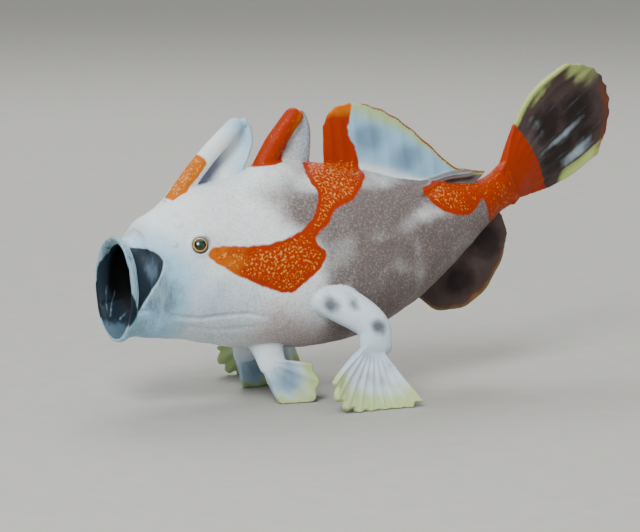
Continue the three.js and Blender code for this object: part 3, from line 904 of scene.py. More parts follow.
        # Pale seams: the rim of the lips, the edge of the cheek, the strands and the mouth's corner
        lip = bell(v, 0.345, 0.02) * on.face * (0.3 + 0.7 * smooth(np.abs(z - 15.5), 2.0, 5.5))
        seam = np.maximum(lip, 0.85 * bell(inside, 0, 0.15) * smooth(x, 1.3, 1.9) * outer)
        for places in self.strands:
            gap, share = near_line(places, x, z)
            strand = bell(gap, 0, 0.17) * smooth(share, 0.0, 0.5) * side
            seam = np.maximum(seam, 0.42 * strand * inner)
        corner = bell(z - 0.35 * (x - 1), 12.9, 0.14) * smooth(x, 1.2, 1.7) * fade(x, 2.2, 3.2)
        # Deep inside and high in the opening the mouth is painted near black as painted shade
        mouth = inner * smooth(x, 0.9, 2.2) * smooth(z - 0.8 * (4 - x), 9.5, 14.5)
        low = inner * fade(z, 10.0, 12.0) * fade(x, 1.8, 4.5)
        pane = 0.75 * oval(x, z, (3.0, 18.3), 0.9, 1.9) * side * front
        return {
            "jelly": jelly * front * (1 - 0.6 * roll),
            "glass": np.maximum(inner, smooth(inside, -0.3, 0.35) * outer),
            "haze": np.maximum(haze, 0.75 * roll),
            "seam": np.maximum(seam, 0.5 * corner * outer),
            "mouth": np.maximum(mouth, smooth(x, 3.0, 6.5) * on.mouth),
            "floor": np.maximum(low, pane),
            "cheek": inside,
        }

    def orange_fields(self, skin: Shell) -> Fields:
        """Works out the orange patches, their hue and their pale specks.

        Args:
            skin: Points of the fused skin.

        Returns:
            Their fields.
        """
        p, (x, y, z), u, v, on = skin.points, skin.points.T, skin.u, skin.v, skin.on()
        # The right flank, which no view gives, carries the same patches with shifted edges
        right = smooth(y, 0.4, 4.0)
        xs = x + ripple(p, 7.0, 3) * 1.5 * right
        zs = z + ripple(p, 6.0, 4) * 1.3 * right
        band = reach_inside(self.band, xs, zs)
        third = on_third_spine(x, z)
        spine = on.spine & third
        orange = layered(
            np.full(len(p), OUTSIDE),
            (on.dorsal | on.lid, band),
            (on.body, np.maximum(band, reach_inside(self.stalk, xs, zs))),
            (on.tail_fin, 8.0 - 1.2 * u - v * (self.tail.sink + self.tail.reach(u))),
            (on.web & third, (0.36 + 0.28 * smooth(v, 0.3, 0.8) - u) * 1.8),
            (spine, (z - 27.9) * 1.6),
        )
        # The third spine's colour runs a little way onto the back round its foot
        edge = (z - 27.8) * 0.56 - (x - 19.6) * 0.83
        round_foot = on.body & (x < 23.0) & (z > 25.5)
        foot = np.where(round_foot, (1.65 - np.hypot(edge, y)) * 1.2, OUTSIDE)
        orange = np.maximum(orange, foot)
        second = (on.spine | on.body & (np.abs(y) < 1.3)) & (x < 14) & (z > 24)
        patch = reach_inside(self.spine_patch, x, z) - 0.35
        orange = np.where(second, np.maximum(orange, patch), orange)

        # The notch at the band's top is the reddest, and the rear edges run to yellow
        notch = oval(x, z, (26.4, 29.0), 1.5, 1.1) * (on.body | on.web | on.dorsal)
        heat = 0.2 + 0.58 * smooth(x, 13, 23) + 0.5 * smooth(x, 36, 50) - 0.35 * fade(x, 9, 17)
        heat += 0.7 * notch - 1.05 * smooth(z, 33.3, 36.3) * on.dorsal
        heat += 0.6 * oval(x, z, (30.3, 32.8), 0.9, 1.9) * on.dorsal
        on_spine = 0.75 - 0.95 * v + 0.7 * smooth(edge, -0.5, 1.3)
        heat = layered(heat, (second, -0.3), (spine, on_spine))
        dots = layered(
            np.where(on.body, 0.12 * ripple(p, 2.4, 8), -1.0),
            (spine, -0.6), (second, 0.3), (on.dorsal, -1.5 * smooth(z, 28.5, 31.5)),
        )
        dots -= 1.2 * fade(orange, 0.1, 0.7) + 0.3 * smooth(x, 42, 50)
        return dict(orange=orange, heat=heat, chill=0.25 - heat, dots=dots, blush=0.9 * notch)

    def fin_fields(self, skin: Shell) -> Fields:
        """Works out the fins' dark skin, rays, blotches and rims.

        Args:
            skin: Points of the fused skin.

        Returns:
            Their fields.
        """
        (x, _, z), u, v, on = skin.points.T, skin.u, skin.v, skin.on()
        tail, anal, back, paws = on.tail_fin, on.anal, on.dorsal, on.hand | on.foot
        dark = layered(
            1.0 * (tail | anal),
            (on.hand, 0.3 * (1 - v)), (on.rod, 0.3), (on.arm, 0.3 * smooth(v, 0.7, 1.0)),
        )

        # Blotches, pale on the back's fin and the feet and dark on the others
        spots, blots = np.full((2, len(x)), OUTSIDE)
        for cx, cz, radius in self.fin_spots:
            inside = radius - np.hypot((x - cx) * 0.85, z - cz)
            spots = np.where(back, np.maximum(spots, inside), spots)
            blots = np.where(anal, np.maximum(blots, inside), blots)
        for cx, cz, radius in self.arm_spots:
            inside = (radius - np.hypot(x - cx, z - cz)) * 1.3 - 0.2
            blots = np.where(on.arm, np.maximum(blots, inside), blots)
        for cu, cv, radius in self.tail_spots:
            inside = (radius - np.hypot((u - cu) * 0.7, v - cv)) * 14
            blots = np.where(tail, np.maximum(blots, inside), blots)
        spots = np.where(on.foot, (0.33 - np.hypot((u - 0.5) * 0.7, v - 0.42)) * 5, spots)

        # Rays, which branch towards the rim, and the tail fin's pale streaks
        ray = np.zeros(len(x))
        for kind, count in RAYS.items():
            branch = ridge(u, count * 2 - 1) * smooth(v, 0.5, 0.7)
            line_of_ray = np.maximum(ridge(u, count), branch * 0.8) ** 1.5
            strength = 1.0 if kind is Part.TAIL_FIN else 0.6
            ray = np.where(skin.part == kind.value, line_of_ray * strength, ray)
        fine = ripple(np.stack([u * 30, v * 3.5, 0 * u], -1), 1.0, 5)
        streak = 0.75 * bell(u, 0.43, 0.035) * oval(v, v, (0.55, 0.55), 0.3, 0.3)
        streak += 0.85 * bell(u, 0.17, 0.07) * oval(v, v, (0.7, 0.7), 0.25, 0.25)
        streak += 0.35 * oval(u, v, (0.76, 0.36), 0.2, 0.22) + 0.1 * fine

        # Yellow-green rims and rusty edges
        upper = smooth(u + 0.03 * fine, 0.9, 0.99) * smooth(v, 0.3, 0.4)
        upper = np.maximum(upper, smooth(v + 0.07 * fine, 0.78, 1.0) * smooth(u, 0.55, 0.8) * 0.7)
        lower = fade(u + 0.03 * fine, 0.03, 0.14) * smooth(v, 0.5, 0.66)
        rim = layered(
            np.zeros(len(x)),
            (back, 0.85 * smooth(v, 0.66, 0.97) * smooth(u, 0.2, 0.3)),
            (tail, np.maximum(upper, lower)),
            (anal, smooth(v, 0.86, 0.97) * 0.35),
            (paws, smooth(v, 0.45, 0.95)),
        )
        third = on_third_spine(x, z)
        rust = layered(
            np.zeros(len(x)),
            (back, smooth(v + 0.09 * smooth(u, 0.45, 0.95), 0.955, 1.0) * smooth(u, 0.2, 0.4)),
            (tail, smooth(v, 0.86, 0.98) * fade(u, 0.5, 0.8) * 0.55),
            (anal, smooth(v, 0.8, 0.95) * 0.5),
            (on.web & third, smooth(u, 0.86, 0.97) * 0.5),
            (on.hand, 0.35 * smooth(v, 0.1, 0.4) * fade(v, 0.6, 0.9)),
        )

        # Painted shade in the hollow side of the webs, and the bundle of rays with a painted shadow in
        # the crease under it
        hollow = smooth(u, 0.02, 0.12) * fade(u, 0.25, 0.85) * (1.05 - 0.35 * v) * on.web
        above = self.above_fold(x, z)
        near = smooth(x, 37.5, 44.0) * fade(x, 49.5, 51.5) * (back | on.body)
        return {
            "dark": dark,
            "spots": spots,
            "blots": blots,
            "ray": ray,
            "streak": np.where(tail, streak, 0.0),
            "rim": rim,
            "rust": rust,
            # Painted shade in the webs' hollow, weaker on the third spine's web
            "hollow": np.where(third, 0.35 * hollow, hollow),
            "fold": near * fade(np.abs(above), 0.3, 0.75) * (0.8 + 0.35 * np.cos(above * 14)),
            # A painted shadow along the crease under the bundle of rays, which also sinks the skin there
            "crease": near * bell(above, -0.85, 0.25),
            "calm": 1 - 0.7 * (back | tail | anal | paws | on.mouth),
        }


def relief(skin: Shell, fields: Fields) -> Field:
    """Gives the relief that is too fine for the sections.

    Args:
        skin: Points of the fused skin.
        fields: Fields of the markings.

    Returns:
        How far each point stands out of the fused surface, in millimetres.
    """
    x, y, z = skin.points.T
    trunk, face = skin.part <= Part.FACE, skin.part == Part.FACE
    out = 0.05 * ripple(skin.points, 2.6, 11) + 0.035 * ripple(skin.points, 1.3, 12)
    out = np.where(skin.part == Part.BODY, out, out * 0.3)
    # Folds of the throat, which run back from the lower jaw under the cheek
    for start, drop, depth in ((12.6, 0.06, 0.17), (10.9, 0.03, 0.08)):
        level = start - drop * (x - 6) + 0.3 * np.sin(x * 0.55 + start)
        share = smooth(x, 3.5, 8) * fade(x, 14, 20) * smooth(np.abs(y), 0.8, 2.0)
        out -= depth * share * bell(z, level, 0.3) * trunk
    # The cheek behind the lips sinks where its skin is thin, and the jaws meet in a crease
    thin = smooth(fields["cheek"], -0.3, 0.3) * smooth(x, 1.1, 1.6)
    corner = bell(z - 0.12 * x, 13.0, 0.24) * smooth(x, 0.4, 0.9) * fade(x, 1.5, 3.6)
    corner *= smooth(np.abs(y), 3.0, 4.0) * (skin.part <= Part.MOUTH)
    out -= 0.2 * thin * (trunk & (x > 0.9)) + 0.2 * corner
    out += 0.05 * fields["jelly"] * np.sin(16 * x + 3 * np.sin(z)) * face
    # The forehead ends in a low step above the upper jaw
    out += (0.22 * bell(x, 4.4, 0.9) - 0.75 * bell(x, 2.3, 1.0)) * smooth(z, 20.2, 22.4) * trunk
    return out + 0.16 * fields["fold"] - 0.1 * fields["crease"]


# Materials


def node(tree: Tree, kind: str, inputs: dict[Any, Any], **settings: Any) -> Node:
    """Adds a node with its settings and links.

    Args:
        tree: Node tree that it goes in.
        kind: Blender's name of the node type, after "ShaderNode".
        inputs: Sockets by name or number. Each takes a value, a node, whose first output in use
            feeds it, or a pair of a node and the name of its output.
        settings: Properties of the node.

    Returns:
        The node.
    """
    made = tree.nodes.new("ShaderNode" + kind)
    for name, value in settings.items():
        setattr(made, name, value)
    for name, value in inputs.items():
        if isinstance(value, Node):
            tree.links.new(next(out for out in value.outputs if out.enabled), made.inputs[name])
        elif isinstance(value, tuple) and isinstance(value[0], Node):
            tree.links.new(value[0].outputs[value[1]], made.inputs[name])
        else:
            made.inputs[name].default_value = value
    return made


@dataclass(frozen=True)
class Coat:
    """A coat of paint, laid where a field of the surface and a pattern add up to enough.

    Attributes:
        paint: Hex colour, or the node that gives the colour.
        where: Field of the surface.
        pattern: Pattern that breaks up the coat.
        amount: How strongly the pattern does.
        low: Sum at which the coat starts.
        high: Sum at which it is full.
        top: Most that it covers.
    """

    paint: Any
    where: str
    pattern: str
    amount: float
    low: float
    high: float
    top: float = 1.0


def coated(tree: Tree, base: Any, coats: list[Coat], patterns: dict[str, Any]) -> Any:
    """Lays coats of paint over a base.

    Args:
        tree: Node tree of the material.
        base: Hex colour or colour node.
        coats: The coats from the lowest up.
        patterns: Node of each pattern, with values around 0.5.

    Returns:
        The node that gives the colour.
    """
    for coat in coats:
        where = (node(tree, "Attribute", {}, attribute_name=coat.where), "Fac")
        inputs = {0: patterns[coat.pattern], 1: coat.amount, 2: where}
        total = node(tree, "Math", inputs, operation="MULTIPLY_ADD")
        middle = coat.amount / 2
        inputs = {0: total, 1: coat.low + middle, 2: coat.high + middle, 4: coat.top}
        share = node(tree, "MapRange", inputs, interpolation_type="SMOOTHSTEP")
        under, over = [colour(c) if isinstance(c, str) else c for c in (base, coat.paint)]
        base = node(tree, "Mix", {0: share, 6: under, 7: over}, data_type="RGBA")
    return base


@dataclass(frozen=True)
class Finish:
    """What the finishes have in common.

    Attributes:
        name: Name of the real material.
    """

    name: str = ""

    def sockets(self, tree: Tree) -> dict[str, Any]:
        """Gives the values of the shader's sockets.

        Args:
            tree: Node tree of the material.

        Returns:
            A value or node for each socket in use.
        """
        raise NotImplementedError

    def material(self) -> bpy.types.Material:
        """Builds the material.

        Returns:
            The material, with one shader.
        """
        made = bpy.data.materials.new(self.name)
        made.use_nodes = True
        tree = made.node_tree
        tree.nodes.clear()
        node(tree, "OutputMaterial", {0: node(tree, "BsdfPrincipled", self.sockets(tree))})
        return made


@dataclass(frozen=True)
class SiliconeSkin(Finish):
    """Cast silicone skin, painted by hand.

    Minute spinules make it granular and dull, a thin wet film gives it a soft sheen, and light
    goes a little way into the fins and lips.
    """

    name: str = "silicone_skin"
    white: str = "#EFF6F8"
    blue_white: str = "#9FD0EC"
    brown_grey: str = "#65544E"
    rose_grey: str = "#A88A8C"
    shade: str = "#7C7476"
    cheek_shade_slate: str = "#3B586B"
    orange: str = "#A83000"
    red_orange: str = "#640E00"
    yellow_orange: str = "#C66A00"
    gold: str = "#CE6C00"
    cream: str = "#DF9F55"
    grey_blue: str = "#6D8AA6"
    # Painted shade in the hollow of the spines' webs
    hollow_shade_grey: str = "#6C7389"
    fin_grey: str = "#4A3C3A"
    fin_dark: str = "#1A1516"
    fin_cloud: str = "#857570"
    ray_blue: str = "#BDD2DF"
    rim_green: str = "#BCD07C"
    rim_rust: str = "#8A4208"
    glass: str = "#1B2A36"
    jelly: str = "#8FB2C3"
    glass_pale: str = "#B9D6E4"
    # Near black, painted shade deep in the open mouth
    mouth: str = "#030405"
    mouth_low: str = "#587182"
    # Real spinules stand about 0.1 mm apart, and are drawn at two pixels so that they show. The
    # pale specks and the grit are as fine, and are drawn at just over a pixel
    spinule_mm: float = 0.24
    speck_mm: float = 0.15
    grit_mm: float = 0.13

    def coats(self, orange: Node) -> list[Coat]:
        """Lists the coats over the white skin.

        Args:
            orange: Node that gives the colour of the orange patches.

        Returns:
            The coats from the lowest up.
        """
        return [
            Coat(self.blue_white, "cool", "broad", 0.8, 0.1, 0.9),
            Coat(self.rose_grey, "rose", "mottle", 1.2, 0.05, 1.0, 0.85),
            Coat(self.brown_grey, "dusk", "mottle", 1.2, 0.08, 1.02, 0.95),
            # Painted shade on the cheek, with pale fibres over it
            Coat(self.cheek_shade_slate, "haze", "cloud", 1.2, 0.05, 0.95, 0.85),
            Coat(self.glass_pale, "haze", "fibre", 1.6, 0.35, 1.2, 0.45),
            Coat(self.shade, "grain", "grit", 2.4, 0.2, 1.1, 0.3),
            Coat(self.white, "pearl", "grit", -2.4, 0.1, 1.2, 0.26),
            Coat(self.hollow_shade_grey, "hollow", "cloud", 0.4, 0.05, 0.95, 0.95),
            Coat(self.grey_blue, "spots", "mottle", 2.2, -0.9, 1.2, 0.75),
            Coat(self.fin_grey, "dark", "cloud", 0.4, 0.1, 0.9),
            Coat(self.fin_cloud, "dark", "mottle", 2.2, 1.0, 1.9, 0.5),
            Coat(self.fin_dark, "blots", "cloud", 2.4, -0.9, 0.9, 0.8),
            Coat(self.ray_blue, "ray", "cloud", 1.4, 0.7, 1.8, 0.22),
            Coat(self.ray_blue, "streak", "cloud", 0.8, 0.2, 0.9, 0.7),
            Coat(self.rim_green, "rim", "cloud", 0.7, 0.1, 0.95, 0.85),
            Coat(self.rim_rust, "rust", "cloud", 0.7, 0.2, 0.9, 0.9),
            Coat(self.fin_cloud, "fold", "cloud", 0.5, 0.1, 0.7, 0.75),
            Coat(self.ray_blue, "fold", "fine", 0.5, 0.75, 1.2, 0.6),
            # Painted shadow under the fold
            Coat(self.fin_dark, "crease", "cloud", 0.5, 0.15, 0.9, 0.7),
            Coat(self.red_orange, "blush", "cloud", 0.8, 0.1, 0.9, 0.9),
            Coat(orange, "orange", "fine", 0.5, -0.14, 0.14),
            # Dark ring and painted shade round the eye
            Coat(self.brown_grey, "socket", "fine", 0.5, 0.1, 0.9, 0.8),
            Coat(self.glass, "glass", "mottle", 0.4, 0.1, 0.85),
            Coat(self.jelly, "jelly", "fibre", 1.2, 0.3, 1.0, 0.95),
            Coat(self.mouth_low, "floor", "fibre", 0.8, 0.25, 0.9, 0.8),
            # Painted shade deep in the mouth
            Coat(self.mouth, "mouth", "cloud", 0.3, 0.15, 0.9),
            Coat(self.glass_pale, "seam", "fibre", 0.6, 0.2, 0.9, 0.85),
        ]

    def sockets(self, tree: Tree) -> dict[str, Any]:
        """Paints the skin by the fields that Markings worked out, and gives it its grain.

        Args:
            tree: Node tree of the material.

        Returns:
            A value or node for each socket in use.
        """
        place = (node(tree, "TexCoord", {}), "Object")
        along = node(tree, "VectorMath", {0: place, 1: (1.0, 1.0, 0.22)}, operation="MULTIPLY")
        # Width of each pattern's blotches in millimetres, detail of its noise, and its place
        kinds = {
            "broad": (9.0, 4.0, place), "mottle": (3.0, 4.0, place), "cloud": (1.1, 4.0, place),
            "fine": (0.45, 4.0, place), "speck": (self.speck_mm, 1.0, place),
            "grit": (self.grit_mm, 2.0, place), "fibre": (0.25, 2.0, along),
        }
        patterns = {}
        for name, (width, detail, where) in kinds.items():
            inputs = {"Vector": where, "Scale": 0.5 / (width * MM), "Detail": detail}
            patterns[name] = node(tree, "TexNoise", inputs)
        spinules = node(tree, "TexVoronoi", {"Vector": place, "Scale": 1 / (self.spinule_mm * MM)})
        patterns["granule"] = spinules
        hues = [
            Coat(self.red_orange, "heat", "mottle", 1.4, 0.45, 1.1, 0.9),
            Coat(self.yellow_orange, "chill", "cloud", 0.7, 0.0, 0.5),
            Coat(self.red_orange, "heat", "granule", 1.2, 0.3, 1.1, 0.6),
            Coat(self.gold, "chill", "fine", 1.2, 0.2, 0.7, 0.9),
            Coat(self.yellow_orange, "dots", "speck", 4.0, 0.0, 0.35, 0.75),
            Coat(self.cream, "dots", "speck", 4.0, 0.38, 0.62, 0.78),
        ]
        orange = coated(tree, self.orange, hues, patterns)
        calm = (node(tree, "Attribute", {}, attribute_name="calm"), "Fac")
        bumps = node(tree, "Math", {0: spinules, 1: -1.0, 2: 1.0}, operation="MULTIPLY_ADD")
        bumps = node(tree, "Math", {0: bumps, 1: calm}, operation="MULTIPLY")
        rough = node(tree, "MapRange", {0: patterns["cloud"], 1: 0.3, 2: 0.7, 3: 0.45, 4: 0.62})
        return {
            "Base Color": coated(tree, self.white, self.coats(orange), patterns),
            "Roughness": rough,
            "Normal": node(tree, "Bump", {"Strength": 0.6, "Distance": 0.06 * MM, "Height": bumps}),
            "IOR": 1.41,
            "Specular IOR Level": 0.22,
            "Subsurface Weight": 0.2,
            "Subsurface Radius": (1.0, 0.6, 0.45),
            "Subsurface Scale": 0.5 * MM,
        }


@dataclass(frozen=True)
class GlassEye(Finish):
    """Lamp-worked glass eye.

    A black pupil with a painted green glint at its middle lies in a thin gold ring, under clear glass
    with a sharp highlight.
    """

    name: str = "glass_eye"
    pupil: str = "#020604"
    # Painted green glint in the middle of the pupil
    glint_green: str = "#0B4A22"
    gold: str = "#D9A441"
    brown: str = "#3E3227"
    pale: str = "#A79C8A"
    fleck_mm: float = 0.15

    def sockets(self, tree: Tree) -> dict[str, Any]:
        """Paints the eye by the angle from its axis in degrees, which is the field ring.

        Args:
            tree: Node tree of the material.

        Returns:
            A value or node for each socket in use.
        """
        place = (node(tree, "TexCoord", {}), "Object")
        inputs = {"Vector": place, "Scale": 0.5 / (self.fleck_mm * MM), "Detail": 3.0}
        coats = [
            Coat(self.pupil, "ring", "fleck", 8.0, 2.0, 22.0),
            Coat(self.gold, "ring", "fleck", 5.0, 30.0, 32.0),
            Coat(self.brown, "ring", "fleck", 6.0, 37.0, 40.0),
            Coat(self.pale, "ring", "fleck", 8.0, 48.0, 60.0),
        ]
        paint = coated(tree, self.glint_green, coats, {"fleck": node(tree, "TexNoise", inputs)})
        glass = {"Roughness": 0.2, "IOR": 1.5, "Coat Weight": 1.0, "Coat Roughness": 0.02}
        return {"Base Color": paint} | glass


@dataclass(frozen=True)
class StudioPaper(Finish):
    """Matte background paper, rolled out without a seam, with a faint cloud of fibres."""

    name: str = "studio_paper"
    grey: str = "#B4B3AE"
    fibre: str = "#A9A8A3"
    fibre_mm: float = 1.5

    def sockets(self, tree: Tree) -> dict[str, Any]:
        """Tints the paper by its fibres.

        Args:
            tree: Node tree of the material.

        Returns:
            A value or node for each socket in use.
        """
        place = (node(tree, "TexCoord", {}), "Object")
        inputs = {"Vector": place, "Scale": 0.5 / (self.fibre_mm * MM), "Detail": 2.0}
        inputs = {0: node(tree, "TexNoise", inputs), 6: colour(self.grey), 7: colour(self.fibre)}
        return {"Base Color": node(tree, "Mix", inputs, data_type="RGBA"), "Roughness": 0.9}


# Building the fish


def mesh_object(name: str, points: Field, faces: list[tuple[int, ...]]) -> Object:
    """Makes an object from points and faces.

    Args:
        name: Name of the object.
        points: Places of the points.
        faces: Corner numbers of each face.

    Returns:
        The object, linked to the scene.
    """
    mesh = bpy.data.meshes.new(name)
    mesh.from_pydata(points.tolist(), [], faces)
    mesh.validate()
    made = bpy.data.objects.new(name, mesh)
    bpy.context.collection.objects.link(made)
    return made


def vectors(items: Any, key: str) -> Field:
    """Reads a vector from each of a mesh's items, one a row."""
    items.foreach_get(key, flat := np.empty(len(items) * 3, np.float32))
    return flat.reshape(-1, 3).astype(float)


def dress(mesh: bpy.types.Mesh, finish: Finish, fields: Fields) -> None:
    """Gives a mesh its finish.

    Args:
        mesh: The mesh.
        finish: What it is made of.
        fields: Fields that the finish reads.
    """
    for name, values in fields.items():
        layer = mesh.attributes.new(name, "FLOAT", "POINT")
        layer.data.foreach_set("value", values.astype(np.float32))
    mesh.shade_smooth()
    mesh.materials.clear()
    mesh.materials.append(finish.material())


def ring_on(here: Vector, normal: Vector, radius: float, thick: float) -> Shell:
    """Lays a rounded ring flat on the skin.

    Args:
        here: Middle of the ring.
        normal: Way out of the skin.
        radius: Radius of the ring's middle line.
        thick: Radius of its section.

    Returns:
        The shell, cut open and closed on itself by its caps.
    """
    around = 48
    g = np.linspace(0, TURN, 20, endpoint=False)
    rings = turned(np.stack([radius + thick * np.cos(g), thick * np.sin(g)], -1), around)
    rings = facing(normal, rings, here).swapaxes(0, 1)[np.arange(around + 1) % around]
    return tube(rings[:, ::-1], Part.LID)


@dataclass
class Frogfish:
    """The whole fish.

    Attributes:
        body: Trunk, face and mouth.
        markings: Where the skin's colours lie.
        eye_radius: Radius of the eyeball.
        eye_sunk: How deep the ball's centre lies under the skin.
        shift: From the fish's own lengths to the frame, in millimetres.
    """

    body: Body = field(default_factory=Body)
    markings: Markings = field(default_factory=Markings)
    eye_radius: float = 1.35
    eye_sunk: float = 0.75
    shift: Field = field(default_factory=lambda: np.zeros(3))

    def __post_init__(self) -> None:
        """Finds the frame's origin from the lips, which the frame's solids share."""
        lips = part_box("upper_jaw")[0][0] / MM
        self.shift = np.array([lips - GAPE_X, 0.0, -FLOOR])

    def fins(self) -> list[Shell]:
        """Builds every fin, spine and limb.

        Returns:
            Their shells.
        """
        dorsal = MedianFin(
            Part.DORSAL,
            ((28.9, 28.2), (33.4, 27.3), (39.6, 25.6), (45.2, 25.0), (50, 25.3)),
            (
                (28.7, 34.0), (29.8, 36.1), (32.4, 36.85), (35.8, 36.15), (39.3, 34.3),
                (43.2, 31.35), (47.5, 28.05), (52.2, 27.2),
            ),
            lambda u, v: -0.9 * np.sin(math.pi * u) * v + 0.5 * smooth(u, 0.6, 1),
        )
        anal = MedianFin(
            Part.ANAL,
            ((42.6, 14.0), (46.6, 17.2), (50, 19.6), (53.0, 22.6)),
            ((42.4, 11.6), (45.6, 9.6), (50.6, 10.4), (54.2, 14.2), (55.6, 18.4), (54.8, 21.4)),
            lambda u, v: 0.5 * smooth(u, 0.2, 1) + 0.5 * v * np.sin(math.pi * u),
        )
        second = DorsalSpine(
            foot=(8.0, 25.2), tip=(17.3, 35.2), radius=1.25, tip_radius=1.05, bow=1.4,
            rim=((15.6, 26.0), (17.9, 29.4), (19.0, 32.2), (18.85, 34.1), (18.35, 34.95), (17.75, 35.3)),
            roll=((16.8, 0, 34.75), (17.5, 0, 34.8), (18.2, 0, 34.75)),
        )
        third = DorsalSpine(
            foot=(19.6, 27.8), tip=(25.3, 36.15), radius=1.4, tip_radius=1.15, bow=0.5,
            rim=((26.3, 28.2), (26.8, 31.0), (26.95, 33.3), (26.7, 34.7), (26.3, 35.6), (25.75, 36.05)),
        )
        pectoral = PairedFin(
            limb=(
                (24.6, 5.5, 14.2, 2.3, 3.2), (26.8, 8.8, 13.0, 2.0, 2.8),
                (29.8, 11.3, 10.4, 1.6, 2.2), (29.7, 12.2, 6.9, 1.0, 2.3),
            ),
            pivot=(29.4, 11.9, 9.0), start=56, end=148, root=1.2, splay=0.24, curl=1.4,
            lengths=(9.2, 9.4, 9.0, 8.8, 8.9, 9.2, 9.5, 9.3, 8.2), lobes=0.07, shift=-1.2,
            limb_part=Part.ARM, fan_part=Part.HAND,
        )
        pelvic = PairedFin(
            limb=((18.9, 2.6, 9.4, 1.9, 2.7), (19.2, 3.9, 7.0, 1.25, 2.0), (19.6, 4.9, 4.5, 0.8, 1.7)),
            pivot=(17.5, 4.5, 6.4), start=8, end=69, root=2.0, splay=0.18, curl=0.7,
            lengths=(6.6, 8.0, 8.6, 8.0, 6.2), lobes=0.05, shift=0.9,
            limb_part=Part.LEG, fan_part=Part.FOOT,
        )
        shells = [dorsal.shell(), anal.shell(), self.markings.tail.shell(self.body)]
        shells += second.shells() + third.shells() + FishingRod().shells()
        for side in Side:
            shells += pectoral.shells(side) + pelvic.shells(side)
        return shells

    def small_forms(self) -> list[Shell]:
        """Builds the eye rims, the nostrils and the gill pores that stand on the skin.

        Returns:
            Their shells.
        """
        # Place on the flank, height over the skin, radius of the ring and of its section
        eye, pore = (*EYE, -0.12, 1.2, 0.27), (31.6, 11.2, 0.15, 0.42, 0.24)
        nostrils = (5.9, 21.3, 0.06, 0.3, 0.17), (7.0, 23.4, 0.06, 0.3, 0.17)
        shells = []
        for side in Side:
            for x, z, raised, radius, thick in (eye, *nostrils, pore):
                here, normal = self.body.flank(x, z, side)
                shells.append(ring_on(here + normal * raised, normal, radius, thick))
        return shells

    def skin(self) -> Object:
        """Fuses all flesh into one skin and dresses it.

        Returns:
            The skin in metres, in the frame.
        """
        shells = [self.body.shell()] + self.fins() + self.small_forms()
        log.info("skin is fused from %d shells", len(shells))
        keys = ("points", "part", "u", "v")
        points, *rest = [np.concatenate([getattr(s, key) for s in shells]) for key in keys]
        offsets = np.cumsum([0] + [len(s.points) for s in shells])
        faces = [tuple(i + o for i in f) for s, o in zip(shells, offsets) for f in s.faces]
        made = mesh_object("frogfish_skin", points, faces)
        fuse = made.modifiers.new("fuse", "REMESH")
        fuse.mode = "VOXEL"
        fuse.voxel_size = VOXEL
        relax = made.modifiers.new("relax", "SMOOTH")
        relax.factor = 0.5
        relax.iterations = 4
        graph = bpy.context.evaluated_depsgraph_get()
        mesh = bpy.data.meshes.new_from_object(made.evaluated_get(graph))
        made.modifiers.clear()
        loose, made.data = made.data, mesh
        bpy.data.meshes.remove(loose)
        log.info("fused skin has %d points", len(mesh.vertices))

        # Each point of the fused skin takes its stretch, u and v from the nearest shell point
        tree = kdtree.KDTree(len(points))
        for i, place in enumerate(points.tolist()):
            tree.insert(place, i)
        tree.balance()
        placed = vectors(mesh.vertices, "co")
        nearest = np.array([tree.find(place)[1] for place in placed.tolist()])
        fused = Shell(placed, [], *[values[nearest] for values in rest])
        fields = self.markings.fields(fused)
        placed = placed + vectors(mesh.vertex_normals, "vector") * relief(fused, fields)[:, None]
        placed[:, 2] = np.maximum(placed[:, 2], FLOOR)
        placed = (placed + self.shift) * MM
        mesh.vertices.foreach_set("co", placed.astype(np.float32).ravel())
        dress(mesh, SiliconeSkin(), fields)
        mesh.update()
        return made

    def eye(self, side: Side) -> Object:
        """Builds one eyeball, domed over the pupil.

        Args:
            side: Which eye.

        Returns:
            The eyeball in the frame.
        """
        here, normal = self.body.flank(*EYE, side)
        look = (normal + Vector((-0.12, 0, 0.05))).normalized()
        theta = np.linspace(0.02, math.pi - 0.02, 60)
        swell = self.eye_radius * (1 + 0.08 * np.exp(-((theta / 0.55) ** 4)))
        rings = turned(np.stack([swell * np.sin(theta), swell * np.cos(theta)], -1), 72)
        rings = facing(look, rings, here - normal * self.eye_sunk)
        ball = tube(rings[:, ::-1], Part.LID, theta)
        made = mesh_object(f"eyeball_{side.name.lower()}", (ball.points + self.shift) * MM, ball.faces)
        dress(made.data, GlassEye(), {"ring": np.degrees(ball.v)})
        return made


# Camera, light and paper


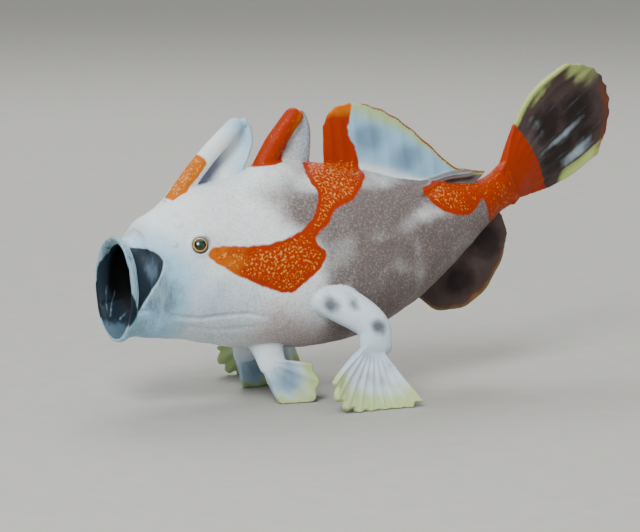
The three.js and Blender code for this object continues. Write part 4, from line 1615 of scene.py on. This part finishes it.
@dataclass
class Studio:
    """The photograph's view with a plain floor and soft light.

    Attributes:
        azimuth: Camera's direction from the fish, in degrees.
        elevation: Its height over the level.
        distance: Its distance in millimetres.
        target: Place that it looks at, in the fish's own lengths.
        width: Width of the view at the target in millimetres.
        flat: Radius of the flat paper in metres.
        bend: Radius of the sweep at its edge.
        sensor: Width of the camera's sensor in millimetres.
        room: Colour of the room's faint light.
        room_strength: Its strength.
        lamps: Name of each lamp, its place and size in metres and its power in watts.
    """

    azimuth: float = -27.0
    elevation: float = 8.0
    distance: float = 400.0
    target: tuple[float, float, float] = (28.58, 0.474, 16.42)
    width: float = 80.0
    flat: float = 1.3
    bend: float = 0.6
    sensor: float = 36.0
    room: str = "#E6EAEE"
    room_strength: float = 0.3
    lamps: tuple[tuple[Any, ...], ...] = (
        ("key", (-0.3, -0.3, 0.36), 0.22, 3.0),
        ("fill", (0.3, -0.5, 0.2), 0.5, 0.4),
        ("rim", (0.12, 0.36, 0.4), 0.25, 1.4),
        ("overhead", (0.0, 0.4, 1.6), 2.4, 20.0),
    )

    def camera(self, shift: Field) -> Object:
        """Sets up the camera.

        Args:
            shift: From the fish's own lengths to the frame.

        Returns:
            The camera.
        """
        a, e = math.radians(self.azimuth), math.radians(self.elevation)
        away = Vector((math.sin(a) * math.cos(e), -math.cos(a) * math.cos(e), math.sin(e)))
        target = Vector((np.array(self.target) + shift) * MM)
        lens = bpy.data.cameras.new("camera")
        lens.sensor_width = self.sensor
        lens.lens = self.sensor * self.distance / self.width
        lens.clip_start = 0.01
        lens.clip_end = 10.0
        made = bpy.data.objects.new("camera", lens)
        made.location = target + away * self.distance * MM
        made.rotation_euler = away.to_track_quat("Z", "Y").to_euler()
        bpy.context.collection.objects.link(made)
        return made

    def paper(self) -> Object:
        """Lays the paper as a flat round floor that rises in a soft sweep all round.

        Returns:
            The paper.
        """
        f = np.linspace(0.05, math.pi / 2, 24)
        sweep = np.stack([self.flat + self.bend * np.sin(f), self.bend * (1 - np.cos(f))], -1)
        profile = [(0.3, 0.0), (self.flat, 0.0), *sweep, (self.flat + self.bend, 1.6)]
        floor = tube(turned(profile, 96), Part.BODY)
        made = mesh_object("studio_paper", floor.points, floor.faces[:-1])
        dress(made.data, StudioPaper(), {})
        return made

    def lights(self) -> None:
        """Hangs a large soft light above the left front, a fill, a rim and an overhead light."""
        for name, place, size, power in self.lamps:
            lamp = bpy.data.lights.new(name, "AREA")
            lamp.size = size
            lamp.energy = power
            made = bpy.data.objects.new(name, lamp)
            made.location = place
            made.rotation_euler = Vector(place).to_track_quat("Z", "Y").to_euler()
            bpy.context.collection.objects.link(made)
        world = bpy.data.worlds.new("room")
        world.use_nodes = True
        background = world.node_tree.nodes["Background"]
        background.inputs["Color"].default_value = colour(self.room)
        background.inputs["Strength"].default_value = self.room_strength
        bpy.context.scene.world = world


def main() -> None:
    """Builds the fish and the studio."""
    logging.basicConfig(level=logging.INFO, format="%(name)s: %(message)s")
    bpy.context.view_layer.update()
    fish = Frogfish()
    skin = fish.skin()
    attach(skin, "root")
    flesh = [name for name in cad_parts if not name.startswith("eye_")]
    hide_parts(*flesh)
    log.info("skin replaces %d nodes", len(flesh))
    for side in Side:
        eye = fish.eye(side)
        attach(eye, "root")
        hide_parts(f"eye_{side.name.lower()}")
        log.info("eye on the %s", side.name.lower())
    studio = Studio()
    bpy.context.scene.camera = studio.camera(fish.shift)
    studio.paper()
    studio.lights()


if __name__ == "__main__":
    main()
